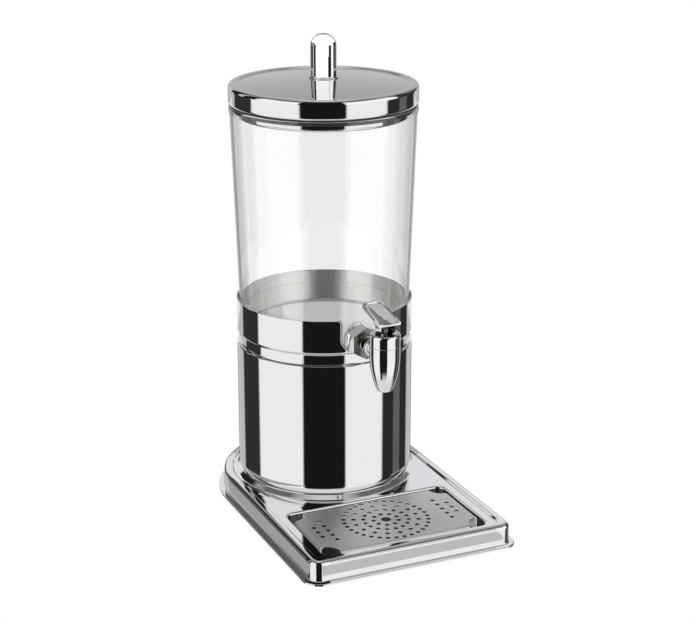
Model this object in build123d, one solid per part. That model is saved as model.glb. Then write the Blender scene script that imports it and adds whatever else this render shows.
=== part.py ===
from build123d import *
import math
import os

# Juice dispenser: a clear container with a lid and a tap, standing in a steel pedestal
# on a base plate with a drip well. Millimetres, +Z up, front towards -Y.
# Everything is modelled about the pedestal's axis and moved to the row's origin on export.

# Base plate
base_margin = 23.2
foot_stand = 1.5
lip_width = 6.0
lip_thickness = 2.0
lip_round = 0.9
front_corner_radius = 18.0
ridge_inner_corner = 10.0
base_sheet = 1.5
skirt_height = 23.5
ridge_width = 11.0
ridge_round = 5.0
ridge_rise = 2.5
plateau_rise = 4.5
plateau_run = 5.6
plateau_overlap = 1.6
plateau_top_round = 2.5
plateau_foot_round = 4.0

# Drip well and grid
well_depth = 106.0
well_side_margin = 9.5
well_front_margin = 4.5
well_setback = 10.7
well_drop = 14.5
well_corner_radius = 9.0
well_floor_round = 2.2
well_rim_round = 2.0
grid_side_gap = 2.75
grid_end_gap = 3.5
grid_sheet = 1.2
grid_bend = 2.4
grid_sink = 0.2
notch_radius = 16.0
drip_hole_radius = 2.4
centre_hole_radius = 5.2
inner_ring_radius = 13.2
outer_ring_margin = 5.5
ring_holes = [9, 16, 16, 32]
side_hole_pitch = 11.2
side_column_inset = 23.25
side_column_holes = [5, 3]

# Pedestal
pedestal_radius = 94.3
pedestal_sheet = 1.0
pedestal_foot_radius = 14.0
pedestal_foot_depth = 3.3
flange_width = 16.0
groove_height = 150.5
collar_height = 43.1
groove_depth = 3.3
groove_flat = 11.0
groove_upper_slope = 2.4
groove_lower_slope = 1.2
groove_round = 1.8
slot_side_gap = 5.5
slot_below_shank = 11.5
slot_bend_radius = 12.5
slot_corner_radius = 3.0
deck_rise = 5.0
deck_sheet = 1.5
deck_skirt = 6.0

# Fasteners and feet
screw_radius = 2.0
screw_head_radius = 4.0
screw_head_height = 2.4
screw_spare = 1.5
nut_flats = 7.0
nut_thickness = 3.2
screw_count = 4
fastener_clearance = 0.05
foot_radius = 7.5
foot_taper = 1.0
stud_radius = 2.5
stud_length = 12.0
front_foot_setback = 42.5
rear_foot_inset = 9.0
rear_foot_angle = 45.0

# Container
container_height = 246.0
container_clearance = 0.2
container_taper = 8.2
container_wall = 3.0
container_floor = 4.5
rim_height = 7.5
rim_proud = 0.7
rim_round = 1.2
rim_crease_round = 0.2
floor_round_outside = 3.0
floor_round_inside = 2.0
boss_radius = 17.0
boss_proud_outside = 0.17
boss_proud_inside = 0.5
boss_low = 3.5
shank_height = 16.5

# Tap
tap_overhang = 58.2
tap_wall = 6.0
chamber_gap = 2.5
tap_tip_wall = 2.7
tap_drop = 36.5
tap_shoulder = 1.0
tap_rise = 12.0
tap_tip_round = 2.0
outlet_radius = 4.5
seat_height = 16.0
neck_radius = 7.5
neck_bead_radius = 9.6
neck_bead_length = 8.0
neck_bead_setback = 8.3
shank_radius = 8.0
shank_wall = 3.5
shank_hole_clearance = 0.3
gasket_radius = 13.5
gasket_thickness = 1.1
nut_boss_radius = 9.5
nut_gap = 0.9
hex_flats = 30.0
hex_thickness = 15.0
hex_chamfer = 0.5
hex_chamfer_run = 0.8
inner_gasket_radius = 10.5
inner_gasket_thickness = 1.6
lock_nut_radius = 10.5
lock_nut_thickness = 6.0
lock_nut_notches = 12
lock_nut_notch_radius = 1.2
shank_spare = 1.5

# Bonnet, stem and lever
bonnet_height = 13.0
bonnet_round = 2.5
seam_chamfer = 0.35
spigot_length = 8.0
spigot_clearance = 0.1
spring_pocket_gap = 1.2
bonnet_top_wall = 6.0
stem_radius = 2.5
stem_running_clearance = 0.05
stem_head_above_pin = 3.0
stem_collar_overlap = 0.2
stem_collar_thickness = 2.0
stem_collar_rise = 6.0
seat_overlap = 2.5
seat_cup_chamfer = 1.5
seat_cup_height = 6.0
seat_cup_bite = 3.0
seal_wire = 1.9
seal_depth_from_top = 2.2
pin_radius = 1.25
pin_recess = 0.2
pin_fixed_clearance = 0.01
pin_running_clearance = 0.04
cam_gap = 0.1
cam_rest_height = 5.5
cam_lift = 2.2
lever_swing = 30.0
cheek_span = 15.0
cheek_front = 7.1
cheek_slot_gap = 3.0
cheek_slot_rise = 5.9
paddle_width = 23.5
paddle_length = 46.5
paddle_thickness = 3.2
paddle_slope = 12.0
paddle_front = 12.0
paddle_front_rise = 7.9
paddle_corner = 4.0
dish_depth = 1.2
dish_border = 2.6

# Spring on the stem
spring_wire = 1.0
spring_stem_gap = 1.5
spring_turns = 5
spring_steps_per_turn = 4
spring_samples_per_arc = 6

# Lid and knob
lid_overhang = 1.0
lid_sheet = 1.0
lid_height = 19.3
lid_edge_round = 4.0
lid_rim_width = 3.6
lid_rim_slope = 1.7
lid_rim_rise = 1.4
lid_dome_rise = 6.3
lid_roll = 3.0
lid_flange_width = 7.0
lid_gasket_thickness = 1.5
lid_gasket_margin = 1.5
lid_seal_depth = 4.5
lid_seal_gap = 0.5
plug_clearance = 3.5
plug_depth = 11.0
plug_gasket_clearance = 0.3
knob_radius = 13.65
knob_length = 44.8
knob_washer_radius = 15.5
knob_washer_thickness = 1.0
knob_screw_radius = 3.0
knob_screw_grip = 15.0
knob_screw_head_radius = 5.5
knob_screw_head_height = 3.0

# How far cutting tools run past a face, and how near an edge lies to the place it is picked by
overrun = 1.0
pick_distance = 0.1

# Heights and places that follow from the sizes above
base_width = 2 * (pedestal_radius + base_margin)
well_front = pedestal_radius + well_setback + well_depth
base_reach = well_front + well_front_margin + ridge_width + lip_width
axis_y = (base_reach - base_width / 2) / 2
ridge_z = foot_stand + skirt_height
panel_z = ridge_z - ridge_rise
plateau_z = panel_z + plateau_rise
plateau_radius = pedestal_radius - pedestal_foot_depth + plateau_overlap
well_floor_z = panel_z - well_drop
well_y = well_depth / 2 - well_front
well_width = base_width - 2 * (lip_width + ridge_width + well_side_margin)
grid_top_z = panel_z - grid_sink
grid_width = well_width - 2 * grid_side_gap
grid_depth = well_depth - 2 * grid_end_gap
outer_ring_radius = grid_depth / 2 - outer_ring_margin

groove_z = plateau_z + groove_height
collar_z = groove_z + collar_height
groove_low_z = groove_z - groove_flat / 2
groove_high_z = groove_z + groove_flat / 2
groove_inner_radius = pedestal_radius - groove_depth - pedestal_sheet
flange_inner_radius = pedestal_radius - pedestal_foot_depth - flange_width
screw_circle = flange_inner_radius + flange_width / 2
deck_top_z = groove_z + deck_rise

container_z = deck_top_z
rim_z = container_z + container_height
shank_z = container_z + shank_height
container_bottom_radius = groove_inner_radius - container_clearance
container_top_radius = container_bottom_radius + container_taper
wall_lean = container_taper / (container_height - rim_height)
boss_wall_radius = container_bottom_radius + wall_lean * (shank_height + gasket_radius)
boss_outer_reach = boss_wall_radius + boss_proud_outside
boss_inner_reach = container_bottom_radius - container_wall - boss_proud_inside
slot_half_width = hex_flats / 2 + slot_side_gap
slot_bottom_z = shank_z - slot_below_shank

tap_reach = pedestal_radius + tap_overhang
tap_y = -tap_reach
tap_tip_radius = outlet_radius + tap_tip_wall
seat_cup_radius = outlet_radius + seat_overlap
chamber_radius = seat_cup_radius + chamber_gap
tap_radius = chamber_radius + tap_wall
shank_bore = shank_radius - shank_wall
seam_z = shank_z + tap_rise
bonnet_z = seam_z + bonnet_height
tap_tip_z = shank_z - tap_drop
seat_z = tap_tip_z + seat_height
hex_back = pedestal_radius + nut_gap
hex_front = hex_back + hex_thickness
gasket_front = boss_outer_reach + gasket_thickness
inner_gasket_back = boss_inner_reach - inner_gasket_thickness
lock_nut_back = inner_gasket_back - lock_nut_thickness
shank_end = lock_nut_back - shank_spare

pin_z = bonnet_z + cam_gap + cam_rest_height
cam_ratio = cam_lift / math.radians(lever_swing)
cheek_slot_width = 2 * (stem_radius + cheek_slot_gap)
pin_length = cheek_span - 2 * pin_recess
spring_coil_radius = stem_radius + spring_stem_gap + spring_wire / 2
spring_pocket_radius = spring_coil_radius + spring_wire / 2 + spring_pocket_gap
stem_collar_radius = spring_coil_radius + spring_wire / 2 + stem_collar_overlap
seal_ring_radius = stem_radius + stem_running_clearance + seal_wire / 2
pocket_top_z = bonnet_z - bonnet_top_wall
collar_top_z = seam_z - spigot_length + stem_collar_rise
stem_bottom_z = seat_z + seat_cup_height - seat_cup_bite

lid_radius = container_top_radius + lid_overhang
plug_radius = container_top_radius - container_wall - plug_clearance
lid_z = rim_z + lid_gasket_thickness
lid_top_z = lid_z + lid_height
dome_z = lid_top_z + lid_dome_rise
knob_z = dome_z + knob_washer_thickness

front = Plane.XZ
upright = (Align.CENTER, Align.CENTER, Align.MIN)


def spun(outline):
    """Solid of revolution about the pedestal's axis from a closed (radius, height) outline."""
    return revolve(front * make_face(outline), axis=Axis.Z)


def post(radius, low, high):
    """Upright cylinder between two heights."""
    return Pos(0, 0, low) * Cylinder(radius, high - low, align=upright)


def rod(radius, back, front_reach, height):
    """Cylinder along the tap's shank, between two distances in front of the axis."""
    turned = Rot(90, 0, 0) * Cylinder(radius, front_reach - back, align=upright)
    return Pos(0, -back, height) * turned


def ring_of(shape, radius, count, start=0.0):
    """Copies of a shape spaced evenly on a circle about the axis."""
    return [Rot(0, 0, start + k * 360 / count) * Pos(radius, 0, 0) * shape for k in range(count)]


# Base plate: rounded at the back, square at the front, with a ridge, a plateau and a well
def base_outline(inset):
    half = base_width / 2 - inset
    reach = base_reach - inset
    outline = Circle(half) + Pos(0, -reach / 2) * Rectangle(2 * half, reach)
    corners = outline.vertices().sort_by(Axis.Y)[:2]
    return fillet(corners, max(front_corner_radius - inset, ridge_inner_corner))


def well_tool(grow):
    mouth = RectangleRounded(well_width + 2 * grow, well_depth + 2 * grow, well_corner_radius + grow)
    low = well_floor_z - grow
    tool = extrude(Pos(0, well_y, low) * mouth, amount=ridge_z + overrun - low)
    return fillet(tool.edges().group_by(Axis.Z)[0], well_floor_round + grow)


def base_form(inset):
    low = foot_stand - inset
    top = ridge_z - inset
    form = extrude(Pos(0, 0, low) * base_outline(lip_width + inset), amount=top - low)
    form = fillet(form.edges().group_by(Axis.Z)[-1], ridge_round - inset)
    floor = panel_z - inset
    form -= extrude(Pos(0, 0, floor) * base_outline(lip_width + ridge_width - inset), amount=ridge_z)
    # The sheet keeps its thickness on the plateau's slope
    radius = plateau_radius - inset * math.tan(math.atan2(plateau_rise, plateau_run) / 2)
    foot = radius + plateau_run
    skirt = foot + plateau_foot_round
    plateau = floor + plateau_rise
    slope = FilletPolyline(
        (skirt, floor),
        (foot, floor),
        (radius, plateau),
        (0, plateau),
        radius=[plateau_foot_round + inset, plateau_top_round - inset],
    )
    core = Polyline((0, plateau), (0, floor - overrun), (skirt, floor - overrun), (skirt, floor))
    form += spun([slope, core])
    return form - well_tool(inset)


def make_base_plate():
    plate = base_form(0)
    half_x = well_width / 2 + pick_distance
    half_y = well_depth / 2 + pick_distance
    rim = plate.edges().filter_by_position(Axis.Z, panel_z - pick_distance, panel_z + pick_distance)
    rim = rim.filter_by_position(Axis.X, -half_x, half_x)
    rim = rim.filter_by_position(Axis.Y, well_y - half_y, well_y + half_y)
    plate = fillet(rim, well_rim_round) - base_form(base_sheet)
    lip = extrude(Pos(0, 0, foot_stand) * base_outline(0), amount=lip_thickness)
    lip = fillet(lip.edges().group_by(Axis.Z)[-1], lip_round)
    plate += lip - extrude(base_outline(lip_width + base_sheet), amount=ridge_z)
    hole = post(screw_radius + fastener_clearance, panel_z, plateau_z + overrun)
    return plate - ring_of(hole, screw_circle, screw_count)


# Drip grid: a brushed plate folded down on four sides, with cut corners and drip holes
def make_drip_grid():
    height = grid_top_z - well_floor_z
    outer = Pos(0, 0, well_floor_z) * Box(grid_width, grid_depth, height, align=upright)
    outer = fillet(outer.edges().group_by(Axis.Z)[-1], grid_bend)
    inside = (grid_width - 2 * grid_sheet, grid_depth - 2 * grid_sheet, height - grid_sheet)
    hollow = Box(*inside, align=upright)
    hollow = fillet(hollow.edges().group_by(Axis.Z)[-1], grid_bend - grid_sheet)
    grid = outer - Pos(0, 0, well_floor_z) * hollow
    low = well_floor_z - overrun
    high = grid_top_z + overrun
    for x in (-grid_width / 2, grid_width / 2):
        for y in (-grid_depth / 2, grid_depth / 2):
            grid -= Pos(x, y, 0) * post(notch_radius, low, high)
    drill = post(drip_hole_radius, low, high)
    drills = [post(centre_hole_radius, low, high)]
    ring_pitch = (outer_ring_radius - inner_ring_radius) / (len(ring_holes) - 1)
    for k, count in enumerate(ring_holes):
        drills += ring_of(drill, inner_ring_radius + k * ring_pitch, count, start=90)
    for k, count in enumerate(side_column_holes):
        column_x = grid_width / 2 - side_column_inset + k * side_hole_pitch
        for row in range(count):
            y = (row - (count - 1) / 2) * side_hole_pitch
            drills += [Pos(column_x, y, 0) * drill, Pos(-column_x, y, 0) * drill]
    return Pos(0, well_y, 0) * (grid - drills)


# Pedestal: one polished tube with a rolled groove, turned in at the foot and slotted for the tap
def pedestal_outline(inset):
    radius = pedestal_radius - inset
    neck = radius - groove_depth
    foot_z = plateau_z + inset
    arc_rise = math.sqrt(pedestal_foot_radius ** 2 - (pedestal_foot_radius - pedestal_foot_depth) ** 2)
    arc_start = (radius - pedestal_foot_depth, foot_z)
    arc_end = (radius, plateau_z + arc_rise)
    # The sheet keeps its thickness on both slopes of the groove
    low_z = groove_low_z - inset * math.tan(math.atan2(groove_depth, groove_lower_slope) / 2)
    high_z = groove_high_z + inset * math.tan(math.atan2(groove_depth, groove_upper_slope) / 2)
    wall = FilletPolyline(
        arc_end,
        (radius, low_z - groove_lower_slope),
        (neck, low_z),
        (neck, high_z),
        (radius, high_z + groove_upper_slope),
        (radius, collar_z + inset),
        radius=groove_round,
    )
    return [
        Polyline((0, collar_z + inset), (0, foot_z), arc_start),
        RadiusArc(arc_start, arc_end, -pedestal_foot_radius),
        wall,
        Line((radius, collar_z + inset), (0, collar_z + inset)),
    ]


def make_pedestal_shell():
    shell = spun(pedestal_outline(0)) - spun(pedestal_outline(pedestal_sheet))
    low = plateau_z - overrun
    high = plateau_z + pedestal_sheet + overrun
    shell -= post(flange_inner_radius, low, high)
    top = collar_z + 2 * pedestal_sheet
    slot = Pos(0, (slot_bottom_z + top) / 2) * Rectangle(2 * slot_half_width, top - slot_bottom_z)
    slot = fillet(slot.vertices().group_by(Axis.Y)[0], slot_bend_radius)
    mouth_half = slot_half_width + slot_corner_radius
    corner_z = collar_z - slot_corner_radius
    mouth = Pos(0, (corner_z + top) / 2) * Rectangle(2 * mouth_half, top - corner_z)
    slot += mouth - [Pos(x, corner_z) * Circle(slot_corner_radius) for x in (-mouth_half, mouth_half)]
    shell -= extrude(front * slot, amount=2 * pedestal_radius)
    hole = post(screw_radius + fastener_clearance, low, high)
    return shell - ring_of(hole, screw_circle, screw_count)


# Deck: the container's floor inside the collar, its skirt pressed into the rolled groove
def make_container_deck():
    low = deck_top_z - deck_sheet - deck_skirt
    deck = post(groove_inner_radius, low, deck_top_z)
    return deck - post(groove_inner_radius - deck_sheet, low, deck_top_z - deck_sheet)


# Screws under the plateau and nuts on the pedestal's turned-in foot
def make_pedestal_screws():
    head_top = plateau_z - base_sheet
    stack = plateau_z + pedestal_sheet + nut_thickness + screw_spare
    screw = post(screw_head_radius, head_top - screw_head_height, head_top)
    screw += post(screw_radius, head_top, stack)
    return Compound(ring_of(screw, screw_circle, screw_count))


def make_pedestal_nuts():
    seat = plateau_z + pedestal_sheet
    hexagon = RegularPolygon(nut_flats / 2, 6, major_radius=False)
    nut = extrude(Pos(0, 0, seat) * hexagon, amount=nut_thickness)
    nut -= post(screw_radius + fastener_clearance, seat - overrun, seat + nut_thickness + overrun)
    return Compound(ring_of(nut, screw_circle, screw_count))


# Feet: rubber pillars on studs that are welded under the sheet
skirt_inner = base_width / 2 - lip_width - base_sheet
front_foot_x = (well_width / 2 + base_sheet + skirt_inner) / 2
rear_foot_radius = plateau_radius - rear_foot_inset
rear_foot_x = rear_foot_radius * math.cos(math.radians(rear_foot_angle))
rear_foot_y = rear_foot_radius * math.sin(math.radians(rear_foot_angle))
foot_places = {
    "foot_front_left": (-front_foot_x, front_foot_setback - base_reach, panel_z - base_sheet),
    "foot_front_right": (front_foot_x, front_foot_setback - base_reach, panel_z - base_sheet),
    "foot_rear_left": (-rear_foot_x, rear_foot_y, plateau_z - base_sheet),
    "foot_rear_right": (rear_foot_x, rear_foot_y, plateau_z - base_sheet),
}


def make_foot(x, y, top):
    foot = Cone(foot_radius - foot_taper, foot_radius, top, align=upright)
    foot -= post(stud_radius + fastener_clearance, top - stud_length - overrun, top + overrun)
    return Pos(x, y, 0) * foot


def make_foot_studs():
    places = foot_places.values()
    return Compound([Pos(x, y, 0) * post(stud_radius, top - stud_length, top) for x, y, top in places])


# Container: tapered clear cup with a bead at the rim and a flat boss for the tap
def make_container():
    inner_bottom = container_bottom_radius - container_wall
    inner_top = container_top_radius - container_wall
    rim_radius = container_top_radius + rim_proud
    wall = FilletPolyline(
        (0, container_z),
        (container_bottom_radius, container_z),
        (container_top_radius, rim_z - rim_height),
        (rim_radius, rim_z - rim_height + rim_proud),
        (rim_radius, rim_z),
        (inner_top, rim_z),
        (inner_bottom, container_z + container_floor),
        (0, container_z + container_floor),
        radius=[floor_round_outside] + 2 * [rim_crease_round] + 2 * [rim_round] + [floor_round_inside],
    )
    cup = spun([wall, Line(wall @ 1, wall @ 0)])
    boss = rod(boss_radius, boss_inner_reach, boss_outer_reach, shank_z)
    keep = Pos(0, -boss_outer_reach, container_z + boss_low)
    cup += boss & (keep * Box(4 * boss_radius, 4 * boss_radius, 4 * boss_radius, align=upright))
    hole_radius = shank_radius + shank_hole_clearance
    return cup - rod(hole_radius, boss_inner_reach - overrun, boss_outer_reach + overrun, shank_z)


# Tap body: bullet spout, neck and threaded shank in one casting
def make_tap_body():
    shoulder_z = shank_z + tap_shoulder
    drop = shoulder_z - tap_tip_z
    narrowing = tap_radius - tap_tip_radius
    bullet_radius = (drop ** 2 + narrowing ** 2) / (2 * narrowing)
    outline = [
        Line((0, tap_tip_z), (tap_tip_radius, tap_tip_z)),
        RadiusArc((tap_tip_radius, tap_tip_z), (tap_radius, shoulder_z), -bullet_radius),
        Polyline((tap_radius, shoulder_z), (tap_radius, seam_z), (0, seam_z), (0, tap_tip_z)),
    ]
    spout = spun(outline)
    spout = fillet(spout.edges().group_by(Axis.Z)[0], tap_tip_round)
    spout = chamfer(spout.edges().group_by(Axis.Z)[-1], seam_chamfer)
    body = Pos(0, tap_y, 0) * spout
    body += rod(neck_radius, hex_front, tap_reach, shank_z)
    bead_arc = ThreePointArc(
        (neck_radius, 0), (neck_bead_radius, neck_bead_length / 2), (neck_radius, neck_bead_length))
    bead_core = Polyline((neck_radius, neck_bead_length), (0, neck_bead_length), (0, 0), (neck_radius, 0))
    body += Pos(0, -hex_front - neck_bead_setback, shank_z) * Rot(90, 0, 0) * spun([bead_arc, bead_core])
    body += rod(shank_radius, shank_end, hex_front, shank_z)
    body -= rod(shank_bore, shank_end - overrun, tap_reach, shank_z)
    bores = post(chamber_radius, seat_z, seam_z + overrun)
    bores += post(outlet_radius, tap_tip_z - overrun, seat_z)
    return body - Pos(0, tap_y, 0) * bores


def make_hex_nut():
    blank = Cylinder(hex_flats / math.sqrt(3), hex_thickness, align=upright)
    blank = chamfer(blank.edges().group_by(Axis.Z)[-1], hex_chamfer, hex_chamfer_run)
    hexagon = Rot(0, 0, 30) * RegularPolygon(hex_flats / 2, 6, major_radius=False)
    nut = blank & extrude(hexagon, amount=hex_thickness)
    nut = Pos(0, -hex_back, shank_z) * Rot(90, 0, 0) * nut
    nut += rod(nut_boss_radius, gasket_front, hex_back, shank_z)
    bore = shank_radius + fastener_clearance
    return nut - rod(bore, gasket_front - overrun, hex_front + overrun, shank_z)


def shank_washer(radius, back, front_reach):
    washer = rod(radius, back, front_reach, shank_z)
    bore = shank_radius + fastener_clearance
    return washer - rod(bore, back - overrun, front_reach + overrun, shank_z)


def make_tap_gasket():
    return shank_washer(gasket_radius, boss_outer_reach, gasket_front)


def make_inner_gasket():
    return shank_washer(inner_gasket_radius, inner_gasket_back, boss_inner_reach)


def make_lock_nut():
    nut = Cylinder(lock_nut_radius, lock_nut_thickness, align=upright)
    top = lock_nut_thickness + overrun
    notch = post(lock_nut_notch_radius, -overrun, top)
    nut -= ring_of(notch, lock_nut_radius, lock_nut_notches)
    nut -= post(shank_radius + fastener_clearance, -overrun, top)
    return Pos(0, -lock_nut_back, shank_z) * Rot(90, 0, 0) * nut


# Bonnet: screwed into the top of the tap, it guides the stem and holds the spring down
def make_bonnet():
    cap = post(tap_radius, seam_z, bonnet_z)
    cap = fillet(cap.edges().group_by(Axis.Z)[-1], bonnet_round)
    cap = chamfer(cap.edges().group_by(Axis.Z)[0], seam_chamfer)
    cap += post(chamber_radius - spigot_clearance, seam_z - spigot_length, seam_z)
    cap -= post(spring_pocket_radius, seam_z - spigot_length - overrun, pocket_top_z)
    cap -= post(stem_radius + stem_running_clearance, pocket_top_z - overrun, bonnet_z + overrun)
    seal_z = bonnet_z - seal_depth_from_top
    gland = post(seal_ring_radius + seal_wire / 2, seal_z - seal_wire / 2, seal_z + seal_wire / 2)
    return Pos(0, tap_y, 0) * (cap - gland)


def make_stem_seal():
    return Pos(0, tap_y, bonnet_z - seal_depth_from_top) * Torus(seal_ring_radius, seal_wire / 2)


# Stem, the cup that closes the outlet, the pin and the coil spring
def make_stem():
    stem = post(stem_radius, stem_bottom_z, pin_z + stem_head_above_pin)
    stem += post(stem_collar_radius, collar_top_z - stem_collar_thickness, collar_top_z)
    cross_hole = Rot(0, 90, 0) * Cylinder(pin_radius + pin_fixed_clearance, 4 * stem_radius)
    return Pos(0, tap_y, 0) * (stem - Pos(0, 0, pin_z) * cross_hole)


def make_seat_cup():
    cup = post(seat_cup_radius, seat_z, seat_z + seat_cup_height)
    cup = chamfer(cup.edges().group_by(Axis.Z)[-1], seat_cup_chamfer)
    bore = stem_radius + fastener_clearance
    return Pos(0, tap_y, 0) * (cup - post(bore, stem_bottom_z, seat_z + seat_cup_height + overrun))


def make_lever_pin():
    return Pos(0, tap_y, pin_z) * Rot(0, 90, 0) * Cylinder(pin_radius, pin_length)


def coil_point(turns, radius, low, pitch):
    """Point and direction on the spring's centre line after a number of turns."""
    angle = 2 * math.pi * turns
    climb = pitch / (2 * math.pi)
    point = Vector(radius * math.cos(angle), radius * math.sin(angle), low + pitch * turns)
    along = Vector(-radius * math.sin(angle), radius * math.cos(angle), climb).normalized()
    return point, along


def biarc(start, along_start, end, along_end):
    """Two tangent arcs that join two points with given directions."""
    chord = end - start
    total = along_start + along_end
    a = 2 * along_start.dot(along_end) - 2
    b = -2 * chord.dot(total)
    c = chord.dot(chord)
    reach = (-b - math.sqrt(b * b - 4 * a * c)) / (2 * a)
    middle = (start + along_start * reach + end - along_end * reach) * 0.5
    first = TangentArc(start, middle, tangent=along_start)
    return [first, TangentArc(middle, end, tangent=first % 1)]


def make_stem_spring():
    low = collar_top_z + spring_wire / 2
    high = pocket_top_z - spring_wire / 2
    pitch = (high - low) / spring_turns
    edges = []
    for k in range(spring_turns * spring_steps_per_turn):
        a = coil_point(k / spring_steps_per_turn, spring_coil_radius, low, pitch)
        b = coil_point((k + 1) / spring_steps_per_turn, spring_coil_radius, low, pitch)
        edges += biarc(*a, *b)
    shares = [k / spring_samples_per_arc for k in range(spring_samples_per_arc)]
    samples = [edge @ share for edge in edges for share in shares]
    half_turn = len(samples) // (2 * spring_turns)
    apart = [(p - q).length for k, p in enumerate(samples) for q in samples[k + half_turn:]]
    print("spring: least gap between turns", round(min(apart) - spring_wire, 2), "mm")
    start, along = coil_point(0, spring_coil_radius, low, pitch)
    section = Plane(origin=start, z_dir=along) * Circle(spring_wire / 2)
    return Pos(0, tap_y, 0) * sweep(section, path=Wire(edges))


# Lever: dished paddle on two cheeks; their rounded heel is an involute, so the stem rises evenly
def cam_point(angle):
    """Point of the heel, behind and below the pin, that touches the bonnet at a lever angle."""
    support = cam_rest_height + cam_ratio * angle
    behind = support * math.sin(angle) + cam_ratio * math.cos(angle)
    below = support * math.cos(angle) - cam_ratio * math.sin(angle)
    return (behind, -below)


def make_lever():
    swing = math.radians(lever_swing)
    slope = math.radians(paddle_slope)
    heel = cam_point(swing)
    inside_paddle = paddle_front_rise - paddle_thickness / 2
    front_top = (-cheek_front, inside_paddle + (paddle_front - cheek_front) * math.tan(slope))
    rear_top = (heel[0], inside_paddle + (paddle_front + heel[0]) * math.tan(slope))
    cheeks = [
        Polyline(front_top, (-cheek_front, -cam_rest_height), cam_point(0)),
        ThreePointArc(cam_point(0), cam_point(swing / 2), heel),
        Polyline(heel, rear_top, front_top),
    ]
    foot = extrude(Plane.YZ * make_face(cheeks), amount=cheek_span / 2, both=True)
    slot_low = -cam_rest_height - overrun
    slot_height = cheek_slot_rise - slot_low
    slot = Box(cheek_slot_width, 4 * cheek_span, slot_height, align=upright)
    foot -= Pos(0, 0, slot_low) * slot
    foot -= Rot(0, 90, 0) * Cylinder(pin_radius + pin_running_clearance, 2 * cheek_span)
    plate = Box(paddle_width, paddle_length, paddle_thickness, align=(Align.CENTER, Align.MIN, Align.MAX))
    rear_corners = plate.edges().filter_by(Axis.Z).group_by(Axis.Y)[-1]
    plate = fillet(rear_corners, paddle_corner)
    dish_width = paddle_width - 2 * dish_border
    dish_radius = (dish_width ** 2 / 4 + dish_depth ** 2) / (2 * dish_depth)
    dish = Rot(90, 0, 0) * Cylinder(dish_radius, paddle_length - 2 * dish_border)
    plate -= Pos(0, paddle_length / 2, dish_radius - dish_depth) * dish
    plate = Pos(0, -paddle_front, paddle_front_rise) * Rot(paddle_slope, 0, 0) * plate
    return Pos(0, tap_y, pin_z) * (foot + plate)


# Lid: domed pressing with a raised rim and a rolled lower edge, its plug, its seal and the knob
rim_edge = lid_radius - lid_edge_round
rim_inside = rim_edge - lid_rim_width
dome_edge = rim_inside - lid_rim_slope
dome_sphere = (dome_edge ** 2 + lid_dome_rise ** 2) / (2 * lid_dome_rise)


def dome_drop(radius):
    """How far the dome lies below its crown at a distance from the axis."""
    return dome_sphere - math.sqrt(dome_sphere ** 2 - radius ** 2)


def lid_outline(inset):
    radius = lid_radius - inset
    low = lid_z + inset
    top = lid_top_z - inset
    rim = top + lid_rim_rise
    edge = lid_edge_round - inset
    roll = lid_roll - inset
    return [
        Polyline((0, low), (radius - roll, low)),
        RadiusArc((radius - roll, low), (radius, low + roll), -roll),
        Line((radius, low + roll), (radius, rim - edge)),
        RadiusArc((radius, rim - edge), (rim_edge, rim), -edge),
        Polyline((rim_edge, rim), (rim_inside, rim), (dome_edge, top)),
        RadiusArc((dome_edge, top), (0, top + lid_dome_rise), -dome_sphere),
        Line((0, top + lid_dome_rise), (0, low)),
    ]


def make_lid_shell():
    shell = spun(lid_outline(0)) - spun(lid_outline(lid_sheet))
    shell -= post(lid_radius - lid_flange_width, lid_z - overrun, lid_z + lid_sheet + overrun)
    return shell - post(knob_screw_radius + fastener_clearance, lid_top_z, dome_z + overrun)


def make_lid_plug():
    low = rim_z - plug_depth
    flange_z = lid_z + lid_sheet
    plug = post(plug_radius, low, flange_z + lid_sheet)
    over = flange_z + lid_sheet + overrun
    plug -= post(plug_radius - lid_sheet, low + lid_sheet, over)
    flange = post(lid_radius - lid_roll - lid_sheet, flange_z, flange_z + lid_sheet)
    return plug + (flange - post(plug_radius - lid_sheet, flange_z - overrun, over))


def make_lid_gasket():
    seal_low = rim_z - lid_seal_depth
    ring = post(lid_radius - lid_gasket_margin, rim_z, lid_z)
    ring += post(container_top_radius - container_wall - lid_seal_gap, seal_low, rim_z)
    return ring - post(plug_radius + plug_gasket_clearance, seal_low - overrun, lid_z + overrun)


def make_knob():
    knob = post(knob_radius, knob_z, knob_z + knob_length - knob_radius)
    knob += Pos(0, 0, knob_z + knob_length - knob_radius) * Sphere(knob_radius)
    bore = knob_screw_radius + fastener_clearance
    return knob - post(bore, knob_z - overrun, knob_z + knob_screw_grip + overrun)


def make_knob_washer():
    washer = post(knob_washer_radius, dome_z, knob_z)
    return washer - post(knob_screw_radius + fastener_clearance, dome_z - overrun, knob_z + overrun)


def make_knob_screw():
    head_top = dome_z - lid_sheet - dome_drop(knob_screw_head_radius)
    shank = post(knob_screw_radius, head_top, knob_z + knob_screw_grip)
    return shank + post(knob_screw_head_radius, head_top - knob_screw_head_height, head_top)


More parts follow.
